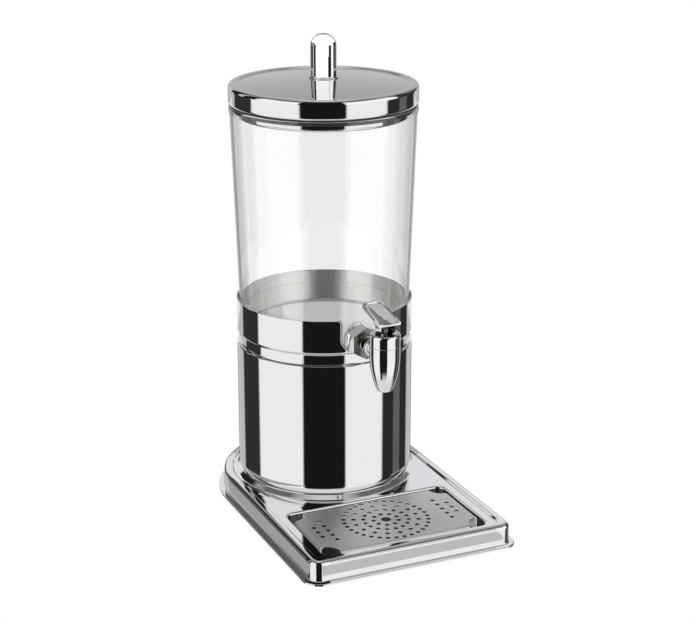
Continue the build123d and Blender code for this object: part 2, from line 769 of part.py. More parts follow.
pieces = {
    "base_plate": make_base_plate(),
    "drip_grid": make_drip_grid(),
    "pedestal_shell": make_pedestal_shell(),
    "container_deck": make_container_deck(),
    "pedestal_screws": make_pedestal_screws(),
    "pedestal_nuts": make_pedestal_nuts(),
    "foot_studs": make_foot_studs(),
    "container": make_container(),
    "tap_body": make_tap_body(),
    "tap_hex_nut": make_hex_nut(),
    "tap_gasket": make_tap_gasket(),
    "tap_inner_gasket": make_inner_gasket(),
    "tap_lock_nut": make_lock_nut(),
    "tap_bonnet": make_bonnet(),
    "stem_seal": make_stem_seal(),
    "stem": make_stem(),
    "seat_cup": make_seat_cup(),
    "lever_pin": make_lever_pin(),
    "stem_spring": make_stem_spring(),
    "lever": make_lever(),
    "lid_shell": make_lid_shell(),
    "lid_plug": make_lid_plug(),
    "lid_gasket": make_lid_gasket(),
    "knob": make_knob(),
    "knob_washer": make_knob_washer(),
    "knob_screw": make_knob_screw(),
}
for name, place in foot_places.items():
    pieces[name] = make_foot(*place)

os.makedirs("parts", exist_ok=True)
for name, piece in pieces.items():
    export_step(Pos(0, axis_y, 0) * piece, f"parts/{name}.step")
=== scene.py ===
import bpy
import math
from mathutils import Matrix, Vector


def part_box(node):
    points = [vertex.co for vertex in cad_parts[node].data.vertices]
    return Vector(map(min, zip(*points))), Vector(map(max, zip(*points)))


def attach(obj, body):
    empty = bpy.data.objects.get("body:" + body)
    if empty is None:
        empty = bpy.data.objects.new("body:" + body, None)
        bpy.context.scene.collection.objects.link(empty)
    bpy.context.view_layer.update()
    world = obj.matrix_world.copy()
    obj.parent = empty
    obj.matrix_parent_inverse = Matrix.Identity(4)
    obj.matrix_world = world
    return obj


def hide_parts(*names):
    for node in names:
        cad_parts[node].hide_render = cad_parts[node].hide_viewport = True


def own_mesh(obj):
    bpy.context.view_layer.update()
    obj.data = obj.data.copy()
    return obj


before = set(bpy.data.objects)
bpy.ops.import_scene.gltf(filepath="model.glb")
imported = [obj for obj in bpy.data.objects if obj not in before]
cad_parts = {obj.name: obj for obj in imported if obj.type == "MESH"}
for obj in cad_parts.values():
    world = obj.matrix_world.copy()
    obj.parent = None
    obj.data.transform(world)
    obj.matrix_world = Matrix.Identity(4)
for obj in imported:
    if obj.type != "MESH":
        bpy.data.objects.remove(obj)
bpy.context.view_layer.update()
mm = 0.001
closeBy = 0.004  # millimetres within which a vertex counts as being at a place
weld = 1e-6  # metres within which vertices are merged
runOut = 9.0  # millimetres of straight beyond an outline's end, which only gives its direction
tipped = (math.pi / 2, 0, 0)  # turns what stands upright to face the front
print("frame loaded:", len(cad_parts), "nodes")


# Places read from the frame, in millimetres
def spanOf(node, axis):
    low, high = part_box(node)
    k = "xyz".index(axis)
    return low[k] / mm, high[k] / mm


pedestalFoot, collarTop = spanOf("pedestal_shell", "z")
pedestalRadius = spanOf("pedestal_shell", "x")[1]
axisY = sum(spanOf("pedestal_shell", "y")) / 2
tapY = sum(spanOf("tap_bonnet", "y")) / 2
containerFoot, containerTop = spanOf("container", "z")
tapTip, tapSeam = spanOf("tap_body", "z")
bonnetTop = spanOf("tap_bonnet", "z")[1]
shankHeight = sum(spanOf("tap_hex_nut", "z")) / 2


# Modelling helpers
def selectOnly(piece):
    bpy.ops.object.select_all(action="DESELECT")
    piece.select_set(True)
    bpy.context.view_layer.objects.active = piece


def pickVerts(piece, test):  # selects vertices by their place in millimetres
    bpy.ops.object.mode_set(mode="OBJECT")
    for part in (piece.data.polygons, piece.data.edges):
        part.foreach_set("select", [False] * len(part))
    for vertex in piece.data.vertices:
        vertex.select = bool(test(*(vertex.co / mm)))
    bpy.ops.object.mode_set(mode="EDIT")
    bpy.ops.mesh.select_mode(type="VERT")


def pickFaces(piece, test):  # selects faces by centre, in millimetres, and normal
    bpy.ops.object.mode_set(mode="OBJECT")
    for part in (piece.data.vertices, piece.data.edges):
        part.foreach_set("select", [False] * len(part))
    for face in piece.data.polygons:
        face.select = bool(test(face.center / mm, face.normal))
    bpy.ops.object.mode_set(mode="EDIT")
    bpy.ops.mesh.select_mode(type="FACE")


def extrudeBy(step):  # step in metres
    bpy.ops.mesh.extrude_region_move(TRANSFORM_OT_translate={"value": step})


def sealMesh():  # merges doubles, turns every face outwards and leaves edit mode
    bpy.ops.mesh.select_all(action="SELECT")
    bpy.ops.mesh.remove_doubles(threshold=weld)
    bpy.ops.mesh.normals_make_consistent(inside=False)
    bpy.ops.object.mode_set(mode="OBJECT")


def setPlace(piece, place, rotation=(0, 0, 0)):  # turns and moves a piece, and keeps that in its mesh
    selectOnly(piece)
    piece.rotation_euler = rotation
    piece.location = [c * mm for c in place]
    bpy.ops.object.transform_apply(location=True, rotation=True, scale=True)
    return piece


def roundCorners(corners, arcStep=9):  # (across, up, radius) corners to points, with an arc for a radius
    points = []
    for k, corner in enumerate(corners):
        here = Vector(corner[:2])
        radius = corner[2] if len(corner) > 2 else 0
        if not radius:
            points.append(here)
            continue
        back = (Vector(corners[k - 1][:2]) - here).normalized()
        ahead = (Vector(corners[(k + 1) % len(corners)][:2]) - here).normalized()
        half = back.angle(ahead) / 2
        centre = here + (back + ahead).normalized() * radius / math.sin(half)
        spoke = here + back * radius / math.tan(half) - centre
        sweep = math.copysign(math.pi - 2 * half, back.cross(ahead))
        steps = max(2, round(math.degrees(abs(sweep)) / arcStep))
        for s in range(steps + 1):
            angle = -sweep * s / steps
            turned = (spoke.x * math.cos(angle) - spoke.y * math.sin(angle),
                      spoke.x * math.sin(angle) + spoke.y * math.cos(angle))
            points.append(centre + Vector(turned))
    return points


def drawChain(name, places):  # extruded vertices through places in millimetres, left in edit mode
    bpy.ops.object.select_all(action="DESELECT")
    bpy.ops.mesh.primitive_plane_add(size=mm, location=(0, 0, 0))
    piece = bpy.context.object
    piece.name = name
    bpy.ops.object.mode_set(mode="EDIT")
    bpy.ops.mesh.select_mode(type="VERT")
    bpy.ops.mesh.merge(type="CENTER")
    bpy.ops.transform.translate(value=[c * mm for c in places[0]])
    for a, b in zip(places, places[1:]):
        extrudeBy((Vector(b) - Vector(a)) * mm)
    bpy.ops.mesh.select_all(action="SELECT")
    return piece


# Spins an outline of (radius, height) corners round an upright axis
def turnPiece(name, corners, y, steps=128, closed=False, arcStep=9):
    points = roundCorners(corners, arcStep)
    if closed:
        points.append(points[0])
    piece = drawChain(name, [(p.x, y, p.y) for p in points])
    bpy.ops.mesh.spin(steps=steps, angle=math.tau, center=(0, y * mm, 0), axis=(0, 0, 1))
    sealMesh()
    return piece


def layForward(piece, y, z):  # tips a piece turned about the origin to point at the front, then moves it
    return setPlace(piece, (0, y, z), tipped)


# Fills a closed outline and extrudes it backwards, or sideways where the outline runs along y
def outlinePiece(name, corners, across, y, depth, arcStep=9):
    points = roundCorners(corners, arcStep)
    if across == "x":
        places = [(p.x, y, p.y) for p in points]
        move = (0, depth * mm, 0)
    else:
        places = [(-depth / 2, y + p.x, p.y) for p in points]
        move = (depth * mm, 0, 0)
    piece = drawChain(name, places)
    bpy.ops.mesh.edge_face_add()
    extrudeBy(move)
    sealMesh()
    return piece


def applyModifier(piece, kind, **settings):
    selectOnly(piece)
    modifier = piece.modifiers.new(kind.lower(), kind)
    for key, value in settings.items():
        setattr(modifier, key, value)
    bpy.ops.object.modifier_apply(modifier=modifier.name)


def thicken(piece, sheet):  # gives a surface the thickness of its sheet, inwards
    applyModifier(piece, "SOLIDIFY", thickness=sheet * mm, offset=-1, use_even_offset=True)


def softenEdges(piece, width, segments, sharpest):  # rounds the edges that bend more than an angle in degrees
    applyModifier(piece, "BEVEL", width=width * mm, segments=segments, limit_method="ANGLE",
                  angle_limit=math.radians(sharpest))


def combine(piece, tool, operation):  # boolean with another piece, which is used up
    applyModifier(piece, "BOOLEAN", object=tool, operation=operation, solver="EXACT")
    bpy.data.objects.remove(tool)


def raiseSection(points):  # carries the selected face through (inset, height) points
    for a, b in zip(points, points[1:]):
        inward, up = (b[0] - a[0]) * mm, (b[1] - a[1]) * mm
        if abs(inward) < weld / 10:
            extrudeBy((0, 0, up))
        else:
            bpy.ops.mesh.inset(thickness=inward, depth=up, use_even_offset=True)


# Smooths a piece but keeps its flats flat, so that mirrors don't swell, and puts it in its CAD node's place
def finishPiece(piece, node, body, slot, *finishes, angle=32):
    selectOnly(piece)
    bpy.ops.object.shade_smooth_by_angle(angle=math.radians(angle))
    applyModifier(piece, "WEIGHTED_NORMAL", keep_sharp=True)
    piece.data.materials.clear()
    for finish in finishes:
        piece.data.materials.append(finish)
    if node:
        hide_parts(node)
    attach(piece, body)


def useSecondFinish(piece, test):  # for faces by centre, in millimetres, and normal
    for face in piece.data.polygons:
        face.material_index = int(test(face.center / mm, face.normal))


# Finishes
noiseSpread = {"From Min": 0.3, "From Max": 0.7}  # where most of a noise texture's values lie


def hexColour(code):  # sRGB hex to linear
    levels = [int(code[k:k + 2], 16) / 255 for k in (0, 2, 4)]
    return [c / 12.92 if c <= 0.04045 else ((c + 0.055) / 1.055) ** 2.4 for c in levels] + [1.0]


def addNode(tree, kind, inputs=None, **settings):
    node = tree.nodes.new(kind)
    for key, value in settings.items():
        setattr(node, key, value)
    for socket, value in (inputs or {}).items():
        if isinstance(value, bpy.types.NodeSocket):
            tree.links.new(value, node.inputs[socket])
        else:
            node.inputs[socket].default_value = value
    return node


def startFinish(name, **sockets):  # a shader with its plain values set, and the coordinates for its pattern
    material = bpy.data.materials.new(name)
    material.use_nodes = True
    tree = material.node_tree
    shader = tree.nodes["Principled BSDF"]
    for socket, value in sockets.items():
        shader.inputs[socket.replace("_", " ")].default_value = value
    return material, tree, shader, addNode(tree, "ShaderNodeTexCoord").outputs["Object"]


# Metal with faint polishing lines a grain wide, a slow press ripple (width, depth) and haze (least, most)
def polishedFinish(name, colour, grain, ripple, haze):
    material, tree, shader, place = startFinish(
        name, Base_Color=hexColour(colour), Metallic=1.0, Roughness=haze[0])
    lines = addNode(tree, "ShaderNodeMapping", {
        "Vector": place, "Scale": (1 / grain, 1 / grain, 0.02 / grain)})  # each line runs 50 times its width
    noise = addNode(tree, "ShaderNodeTexNoise", {
        "Vector": lines.outputs["Vector"], "Scale": 1.0 / mm, "Detail": 3.0})
    rough = addNode(tree, "ShaderNodeMapRange", {
        "Value": noise.outputs["Fac"], **noiseSpread, "To Min": haze[0], "To Max": haze[1]})
    tree.links.new(rough.outputs["Result"], shader.inputs["Roughness"])
    wave = addNode(tree, "ShaderNodeTexNoise", {
        "Vector": place, "Scale": 1.0 / (ripple[0] * mm), "Detail": 1.0})
    bump = addNode(tree, "ShaderNodeBump", {
        "Height": wave.outputs["Fac"], "Distance": ripple[1] * mm, "Strength": 1.0})
    tree.links.new(bump.outputs["Normal"], shader.inputs["Normal"])
    return material


# Mirror-polished stainless steel, pressed and buffed: clear reflections, a little soft at their edges
polishedSteel = polishedFinish("polished_stainless_steel", "e2e2e2", 0.6, (70, 0.012), (0.025, 0.05))
# The same steel inside the collar, only bright-rolled: reflections blur to broad greys
rolledSteel = polishedFinish("bright_rolled_stainless_steel", "c9c6c3", 0.8, (50, 0.02), (0.2, 0.28))
# The deck under the container, rolled and lightly buffed: pale, its reflections soft
buffedSteel = polishedFinish("buffed_stainless_steel", "eae9e7", 0.8, (50, 0.02), (0.12, 0.18))
# Chrome plating on a brass tap: cooler and sharper than the steel
tapChrome = polishedFinish("chrome_plated_brass", "e6e6e5", 0.4, (25, 0.004), (0.05, 0.09))
# The nut's turned front face, with lathe marks; its dull warm grey is painted shade for the dark that this face
# reflects
nutFaceShade = polishedFinish("nut_face_painted_shade", "7c7a74", 0.25, (6, 0.01), (0.14, 0.24))
# Turned stainless screws, nuts and stem: fine lathe rings, half blurred
turnedSteel = polishedFinish("turned_stainless_steel", "b9b9ba", 0.25, (6, 0.01), (0.16, 0.3))
# The walls of the drip holes: painted shade, a dark dull steel that stands in for the shade inside the holes
holeEdgeShadeSteel = polishedFinish("hole_edge_painted_shade", "3a3937", 0.3, (3, 0.02), (0.4, 0.55))
# The drip well, satin as pressed, its colour darkened as painted shade under the grid, so the holes and the cut
# corners show dark
wellShadeSteel = polishedFinish("satin_well_steel_painted_shade", "4a4948", 0.3, (3, 0.02), (0.32, 0.45))


# Belt-brushed stainless sheet: short streaks along its length, drawn twice as coarse as real ones to show
def brushedFinish():
    streak = {"length": 18.0, "width": 0.28, "depth": 0.02, "dark": "d8d7d5", "light": "f2f1ef"}
    material, tree, shader, place = startFinish(
        "brushed_stainless_steel", Base_Color=hexColour("e8e7e5"), Metallic=1.0, Roughness=0.5,
        Anisotropic=0.45)
    lines = addNode(tree, "ShaderNodeMapping", {
        "Vector": place, "Scale": (1 / streak["length"], 1 / streak["width"], 1 / streak["width"])})
    noise = addNode(tree, "ShaderNodeTexNoise", {
        "Vector": lines.outputs["Vector"], "Scale": 1.0 / mm, "Detail": 4.0})
    tone = addNode(tree, "ShaderNodeMapRange", {"Value": noise.outputs["Fac"], **noiseSpread})
    mix = addNode(tree, "ShaderNodeMix", {
        "Factor": tone.outputs["Result"], "A": hexColour(streak["dark"]), "B": hexColour(streak["light"])},
        data_type="RGBA")
    tree.links.new(mix.outputs["Result"], shader.inputs["Base Color"])
    rough = addNode(tree, "ShaderNodeMapRange", {"Value": noise.outputs["Fac"], "To Min": 0.44, "To Max": 0.6})
    tree.links.new(rough.outputs["Result"], shader.inputs["Roughness"])
    bump = addNode(tree, "ShaderNodeBump", {
        "Height": noise.outputs["Fac"], "Distance": streak["depth"] * mm, "Strength": 0.5})
    tree.links.new(bump.outputs["Normal"], shader.inputs["Normal"])
    return material


# Clear moulded SAN plastic: glassy, with a slow flow ripple from the mould, longer upwards
def clearFinish():
    flow = {"width": 35.0, "stretch": 4.0, "depth": 0.02}
    material, tree, shader, place = startFinish(
        "clear_san_plastic", Base_Color=hexColour("fcfdfe"), Metallic=0.0, Roughness=0.01,
        Transmission_Weight=1.0, IOR=1.5)
    along = addNode(tree, "ShaderNodeMapping", {"Vector": place, "Scale": (1.0, 1.0, 1 / flow["stretch"])})
    wave = addNode(tree, "ShaderNodeTexNoise", {
        "Vector": along.outputs["Vector"], "Scale": 1.0 / (flow["width"] * mm)})
    bump = addNode(tree, "ShaderNodeBump", {
        "Height": wave.outputs["Fac"], "Distance": flow["depth"] * mm, "Strength": 0.6})
    tree.links.new(bump.outputs["Normal"], shader.inputs["Normal"])
    return material


# Rubber or nylon with a fine mould texture: grain width and depth in millimetres
def softFinish(name, colour, lighter, roughness, grain, depth, **sockets):
    material, tree, shader, place = startFinish(
        name, Base_Color=hexColour(colour), Metallic=0.0, Roughness=roughness, **sockets)
    noise = addNode(tree, "ShaderNodeTexNoise", {"Vector": place, "Scale": 1.0 / (grain * mm), "Detail": 3.0})
    mix = addNode(tree, "ShaderNodeMix", {
        "Factor": noise.outputs["Fac"], "A": hexColour(colour), "B": hexColour(lighter)}, data_type="RGBA")
    tree.links.new(mix.outputs["Result"], shader.inputs["Base Color"])
    bump = addNode(tree, "ShaderNodeBump", {
        "Height": noise.outputs["Fac"], "Distance": depth * mm, "Strength": 0.6})
    tree.links.new(bump.outputs["Normal"], shader.inputs["Normal"])
    return material


brushedSteel = brushedFinish()
clearPlastic = clearFinish()
# Black moulded rubber feet and ring seal: matt, a shade paler where it is worn
blackRubber = softFinish("black_moulded_rubber", "161616", "2a2a2a", 0.7, 0.8, 0.05)
# Grey silicone sealing rings: satin, slightly milky
greySilicone = softFinish("grey_silicone_rubber", "9a9a9a", "b4b4b4", 0.45, 1.5, 0.03)
# Dark silicone of the lid's seal: satin, a warm black
darkSilicone = softFinish("dark_silicone_rubber", "3c3735", "4c4745", 0.5, 1.5, 0.03)
# White silicone washers: milky, so light spreads in them
whiteSilicone = softFinish("white_silicone_rubber", "dcdcda", "eeeeec", 0.4, 1.5, 0.03, Subsurface_Weight=0.2)
# White nylon lock nut: moulded, with a soft gloss
whiteNylon = softFinish("white_moulded_nylon", "d8d7d2", "ebeae6", 0.38, 1.2, 0.04)
print("finishes made:", len(bpy.data.materials))


# Base plate: lip, skirt and ridge round the edge, a plateau under the pedestal and a drip well
basePlate = {
    "lip": 6.0, "lipThick": 2.0, "lipRound": 0.9, "lipFillet": 1.4,
    "ridgeWidth": 11.0, "ridgeRound": 5.0, "ridgeRise": 2.5, "slopeRun": 1.8, "slopeRound": 1.2,
    "frontCorner": 18.0, "pocketCorner": 12.0, "cornerSteps": 24, "sheet": 1.5,
    "plateauRise": 4.5, "plateauRun": 5.6, "plateauTop": 92.6, "plateauTopRound": 2.5,
    "plateauFootRound": 4.0, "plateauSteps": 128,
    "wellWidth": 182.0, "wellDepth": 106.0, "wellSetback": 10.7, "wellDrop": 14.5, "wellRim": 2.0,
    "wellCorner": 9.0, "wellCornerSteps": 12, "wellFloorRound": 2.2,
}


# Adds a flat face with rounded corners, given as front and back radius, and carries it through a section
def pressPlate(width, front, back, height, corners, steps, section):
    clear = 40  # shaped this far above the rest, so that its own vertices can be picked, then lowered
    middle = (0, (front + back) / 2 * mm, (height + clear) * mm)
    bpy.ops.mesh.select_mode(type="VERT")
    bpy.ops.mesh.select_all(action="DESELECT")
    bpy.ops.mesh.primitive_plane_add(size=mm, location=middle)
    bpy.ops.transform.resize(value=(width, back - front, 1), center_override=middle)
    piece = bpy.context.object
    for edgeY, radius in ((back, corners[1]), (front, corners[0])):
        pickVerts(piece, lambda x, y, z: abs(z - height - clear) < closeBy and abs(y - edgeY) < closeBy
                  and abs(abs(x) - width / 2) < closeBy)
        bpy.ops.mesh.bevel(offset=radius * mm, segments=steps, profile=0.5, affect="VERTICES",
                           clamp_overlap=False)
    pickVerts(piece, lambda x, y, z: abs(z - height - clear) < closeBy)
    bpy.ops.mesh.remove_doubles(threshold=weld)
    bpy.ops.transform.translate(value=(0, 0, -clear * mm))
    bpy.ops.mesh.select_mode(type="FACE")
    raiseSection(section)


def makeBasePlate():
    size = basePlate
    half = spanOf("base_plate", "x")[1]
    front, back = spanOf("base_plate", "y")
    low, plateau = spanOf("base_plate", "z")
    panel = plateau - size["plateauRise"]
    ridge = panel + size["ridgeRise"]
    lipTop = low + size["lipThick"]
    crown = size["lip"] + size["ridgeRound"]
    bpy.ops.object.select_all(action="DESELECT")
    bpy.ops.mesh.primitive_plane_add(size=mm, location=(0, 0, 0))
    piece = bpy.context.object
    piece.name = "base_plate_pressing"
    bpy.ops.object.mode_set(mode="EDIT")
    bpy.ops.mesh.delete(type="VERT")

    outer = roundCorners([
        (0, low), (0, lipTop, size["lipRound"]), (size["lip"], lipTop, size["lipFillet"]),
        (size["lip"], ridge, size["ridgeRound"]), (crown + runOut, ridge)])[:-1]
    pressPlate(2 * half, front, back, low, (size["frontCorner"], half), size["cornerSteps"], outer)
    bpy.ops.mesh.delete(type="ONLY_FACE")
    pickFaces(piece, lambda centre, normal: centre.z < low + closeBy)
    bpy.ops.mesh.delete(type="ONLY_FACE")

    turn = size["slopeRound"]
    toe = size["lip"] + size["ridgeWidth"] - turn / 2
    pocket = roundCorners([
        (crown, ridge), (toe - size["slopeRun"], ridge, turn), (toe, panel, turn), (toe + runOut, panel)])[1:-1]
    start = pocket[0].x
    pressPlate(2 * (half - start), front + start, back - start, ridge, (size["pocketCorner"], half - start),
               size["cornerSteps"], pocket)
    bpy.ops.mesh.delete(type="ONLY_FACE")
    pickVerts(piece, lambda x, y, z: z > ridge - closeBy)
    bpy.ops.mesh.bridge_edge_loops()

    rim = size["wellRim"]
    wellBack = axisY - pedestalRadius - size["wellSetback"]
    wellFront = wellBack - size["wellDepth"]
    floor = panel - size["wellDrop"]
    wall = roundCorners([
        (-rim - runOut, panel), (0, panel, rim), (0, floor, size["wellFloorRound"]), (runOut, floor)])[1:-1]
    corner = size["wellCorner"] + rim
    pressPlate(size["wellWidth"] + 2 * rim, wellFront - rim, wellBack + rim, panel, (corner, corner),
               size["wellCornerSteps"], wall)

    top = size["plateauTop"]
    foot = top + size["plateauRun"]
    rise = roundCorners([
        (foot + runOut, panel), (foot, panel, size["plateauFootRound"]),
        (top, plateau, size["plateauTopRound"]), (top - runOut, plateau)], arcStep=5)[1:-1]
    bpy.ops.mesh.select_all(action="DESELECT")
    bpy.ops.mesh.select_mode(type="VERT")
    middle = (0, axisY * mm, panel * mm)
    bpy.ops.mesh.primitive_circle_add(vertices=size["plateauSteps"], radius=rise[0].x * mm,
                                      fill_type="NOTHING", location=middle)
    for a, b in zip(rise, rise[1:]):
        extrudeBy((0, 0, (b.y - a.y) * mm))
        bpy.ops.transform.resize(value=(b.x / a.x, b.x / a.x, 1), center_override=middle)
    bpy.ops.mesh.edge_face_add()

    pickVerts(piece, lambda x, y, z: abs(z - panel) < closeBy)
    bpy.ops.mesh.fill(use_beauty=True)
    sealMesh()
    widest = max(piece.data.polygons, key=lambda face: face.area)
    if widest.normal.z < 0:
        piece.data.flip_normals()
    thicken(piece, size["sheet"])
    piece.visible_glossy = False  # keeps the plate out of the pedestal's mirror, as in the photo's studio
    finishPiece(piece, "base_plate", "base", "polished_steel", polishedSteel, wellShadeSteel)
    slack = 0.1  # millimetres, to take in the well's own walls
    # The well's faces take the second finish, with its painted shade
    useSecondFinish(piece, lambda centre, normal: abs(centre.x) < size["wellWidth"] / 2 + slack
                    and wellFront - slack < centre.y < wellBack + slack and centre.z < panel - rim)


makeBasePlate()
print("base plate pressed")


# Drip grid: brushed plate folded down on four sides, finger cuts at the corners, drip holes in rings
dripGrid = {
    "sheet": 1.2, "bend": 2.4, "bendSteps": 6, "cornerCut": 16.0, "cutSides": 64,
    "centreHole": 5.2, "centreSides": 40, "hole": 2.4, "holeSides": 20, "holeEdge": 0.18, "drillOver": 2.0,
    "firstRing": 13.2, "lastRing": 44.0, "ringHoles": [9, 16, 16, 32],
    "column": 65.0, "pitch": 11.2, "columnHoles": [5, 3],
}


def makeDripGrid():
    size = dripGrid
    (left, right), (front, back) = spanOf("drip_grid", "x"), spanOf("drip_grid", "y")
    low, top = spanOf("drip_grid", "z")
    middle, level = (front + back) / 2, (low + top) / 2
    bpy.ops.object.select_all(action="DESELECT")
    bpy.ops.mesh.primitive_cube_add(size=mm)
    piece = bpy.context.object
    piece.name = "drip_grid_plate"
    piece.scale = (right - left, back - front, top - low)
    setPlace(piece, (0, middle, level))
    pickFaces(piece, lambda centre, normal: normal.z < -0.9)
    bpy.ops.mesh.delete(type="ONLY_FACE")
    pickVerts(piece, lambda x, y, z: z > top - closeBy)
    bpy.ops.mesh.bevel(offset=size["bend"] * mm, segments=size["bendSteps"], profile=0.5, affect="EDGES")
    bpy.ops.object.mode_set(mode="OBJECT")
    thicken(piece, size["sheet"])

    holes = [(0, 0, size["centreHole"], size["centreSides"])]
    ringStep = (size["lastRing"] - size["firstRing"]) / (len(size["ringHoles"]) - 1)
    for ring, count in enumerate(size["ringHoles"]):
        radius = size["firstRing"] + ring * ringStep
        for k in range(count):
            angle = math.pi / 2 + math.tau * k / count
            holes.append((radius * math.cos(angle), radius * math.sin(angle), size["hole"], size["holeSides"]))
    for column, count in enumerate(size["columnHoles"]):
        x = size["column"] + column * size["pitch"]
        for row in range(count):
            y = (row - (count - 1) / 2) * size["pitch"]
            holes += [(side * x, y, size["hole"], size["holeSides"]) for side in (-1, 1)]
    corners = [(x, y) for x in (left, right) for y in (front, back)]
    holes += [(x, y - middle, size["cornerCut"], size["cutSides"]) for x, y in corners]
    deep = top - low + 2 * size["drillOver"]
    drills = []
    for x, y, radius, sides in holes:
        bpy.ops.mesh.primitive_cylinder_add(vertices=sides, radius=radius * mm, depth=deep * mm,
                                            location=(x * mm, (middle + y) * mm, level * mm))
        drills.append(bpy.context.object)
    selectOnly(drills[0])
    for drill in drills:
        drill.select_set(True)
    bpy.ops.object.join()
    combine(piece, drills[0], "DIFFERENCE")
    softenEdges(piece, size["holeEdge"], 2, 50)
    piece.visible_glossy = False
    finishPiece(piece, "drip_grid", "grid", "brushed_grid_steel", brushedSteel, holeEdgeShadeSteel, angle=40)
    flat = size["bend"] + size["sheet"]
    # The walls of the holes and corner cuts take the second finish: painted shade
    useSecondFinish(piece, lambda centre, normal: left + flat < centre.x < right - flat
                    and front + flat < centre.y < back - flat and abs(normal.z) < 0.5)


makeDripGrid()
print("drip grid punched")


# Pedestal: polished tube with a rolled groove, a turned-in foot and a U-slot with a rolled edge for the tap
pedestal = {
    "sheet": 1.0, "footIn": 3.3, "footCorner": 3.9, "footRound": 14.0, "flange": 16.0, "rimRound": 0.45,
    "grooveMiddle": 150.5, "grooveDepth": 3.3, "grooveFlat": 11.0, "upperSlope": 2.4, "lowerSlope": 1.2,
    "upperRound": 2.3, "lowerRound": 1.3, "wallSteps": 192,
    "slotHalf": 20.5, "slotBelowShank": 11.5, "slotBend": 12.5, "slotCorner": 3.0,
    "mouthRun": 12.0, "mouthAbove": 10.0, "cutterFront": 20.0, "cutterDeep": 60.0,
    "slotBead": 1.15, "beadRun": 0.4, "beadSteps": 5,
    "deckSheet": 1.5, "deckRound": 1.2, "deckGap": 0.2,
}


def wallCorners(size, inset):  # the tube's wall from foot to collar, seen in section
    radius = pedestalRadius - inset
    neck = radius - size["grooveDepth"]
    groove = pedestalFoot + size["grooveMiddle"]
    down, up = size["lowerSlope"], size["upperSlope"]
    low = groove - size["grooveFlat"] / 2 - inset * math.tan(math.atan2(size["grooveDepth"], down) / 2)
    high = groove + size["grooveFlat"] / 2 + inset * math.tan(math.atan2(size["grooveDepth"], up) / 2)
    return [
        (radius - size["footIn"], pedestalFoot + inset),
        (radius, pedestalFoot + size["footCorner"], size["footRound"] - inset),
        (radius, low - down, size["lowerRound"]), (neck, low, size["lowerRound"]),
        (neck, high, size["upperRound"]), (radius, high + up, size["upperRound"]),
        (radius, collarTop, size["rimRound"])]


def slotCorners(size, run):  # the U of the slot, with a run along the collar's rim on both sides
    half, low = size["slotHalf"], shankHeight - size["slotBelowShank"]
    return [
        (-half - run, collarTop), (-half, collarTop, size["slotCorner"]), (-half, low, size["slotBend"]),
        (half, low, size["slotBend"]), (half, collarTop, size["slotCorner"]), (half + run, collarTop)]


def makePedestal():
    size = pedestal
    flangeIn = pedestalRadius - size["footIn"] - size["flange"]
    section = wallCorners(size, 0) + wallCorners(size, size["sheet"])[::-1] + [
        (flangeIn, pedestalFoot + size["sheet"]), (flangeIn, pedestalFoot)]
    piece = turnPiece("pedestal_tube", section, axisY, steps=size["wallSteps"], closed=True, arcStep=7)
    mouth = slotCorners(size, size["mouthRun"])
    above = collarTop + size["mouthAbove"]
    cutter = outlinePiece("slot_cutter", mouth + [(mouth[-1][0], above), (mouth[0][0], above)], "x",
                          axisY - pedestalRadius - size["cutterFront"], size["cutterDeep"], arcStep=5)
    combine(piece, cutter, "DIFFERENCE")
    finishPiece(piece, "pedestal_shell", "base", "polished_steel", polishedSteel, rolledSteel)

    def facesAxis(centre, normal):
        spoke = Vector((centre.x, centre.y - axisY, 0))
        return normal.dot(spoke.normalized()) < -0.3

    useSecondFinish(piece, facesAxis)

    middle = pedestalRadius - size["sheet"] / 2
    path = roundCorners(slotCorners(size, size["beadRun"]), arcStep=5)
    places = [(p.x, axisY - math.sqrt(middle ** 2 - p.x ** 2), p.y) for p in path]
    bead = drawChain("slot_rolled_edge", places)
    bpy.ops.object.mode_set(mode="OBJECT")
    selectOnly(bead)
    bpy.ops.object.convert(target="CURVE")
    bead.data.bevel_depth = size["slotBead"] * mm
    bead.data.bevel_resolution = size["beadSteps"]
    bead.data.use_fill_caps = True
    bpy.ops.object.convert(target="MESH")
    bpy.ops.object.mode_set(mode="EDIT")
    sealMesh()
    finishPiece(bead, None, "base", "polished_steel", polishedSteel, angle=50)

    deckFoot, deckTop = spanOf("container_deck", "z")
    deckRadius = spanOf("container_deck", "x")[1]
    deckTop -= size["deckGap"]
    deck = turnPiece("container_deck_pan", [
        (0, deckTop), (deckRadius, deckTop, size["deckRound"]), (deckRadius, deckFoot)], axisY)
    applyModifier(deck, "SOLIDIFY", thickness=size["deckSheet"] * mm, offset=-1)
    finishPiece(deck, "container_deck", "base", "polished_steel", buffedSteel)


makePedestal()
print("pedestal rolled and slotted")


# Container: clear tapered cup with a beaded rim and a boss for the tap
container = {
    "wall": 3.0, "floor": 4.5, "taper": 8.2, "rimHigh": 7.5, "rimProud": 0.7, "rimRound": 1.2,
    "footRound": 3.0, "insideRound": 2.0, "wallSteps": 192,
    "bossRadius": 17.0, "bossIn": 86.3, "bossOut": 91.0, "bossRound": 0.6, "bossSteps": 96,
    "bossAboveFoot": 3.5, "tapHole": 8.3, "holeIn": -6.0, "holeOut": 20.0, "holeSteps": 64,
    "trimHalf": 40.0, "trimHigh": 60.0, "trimFront": 120.0, "trimDeep": 60.0,
}


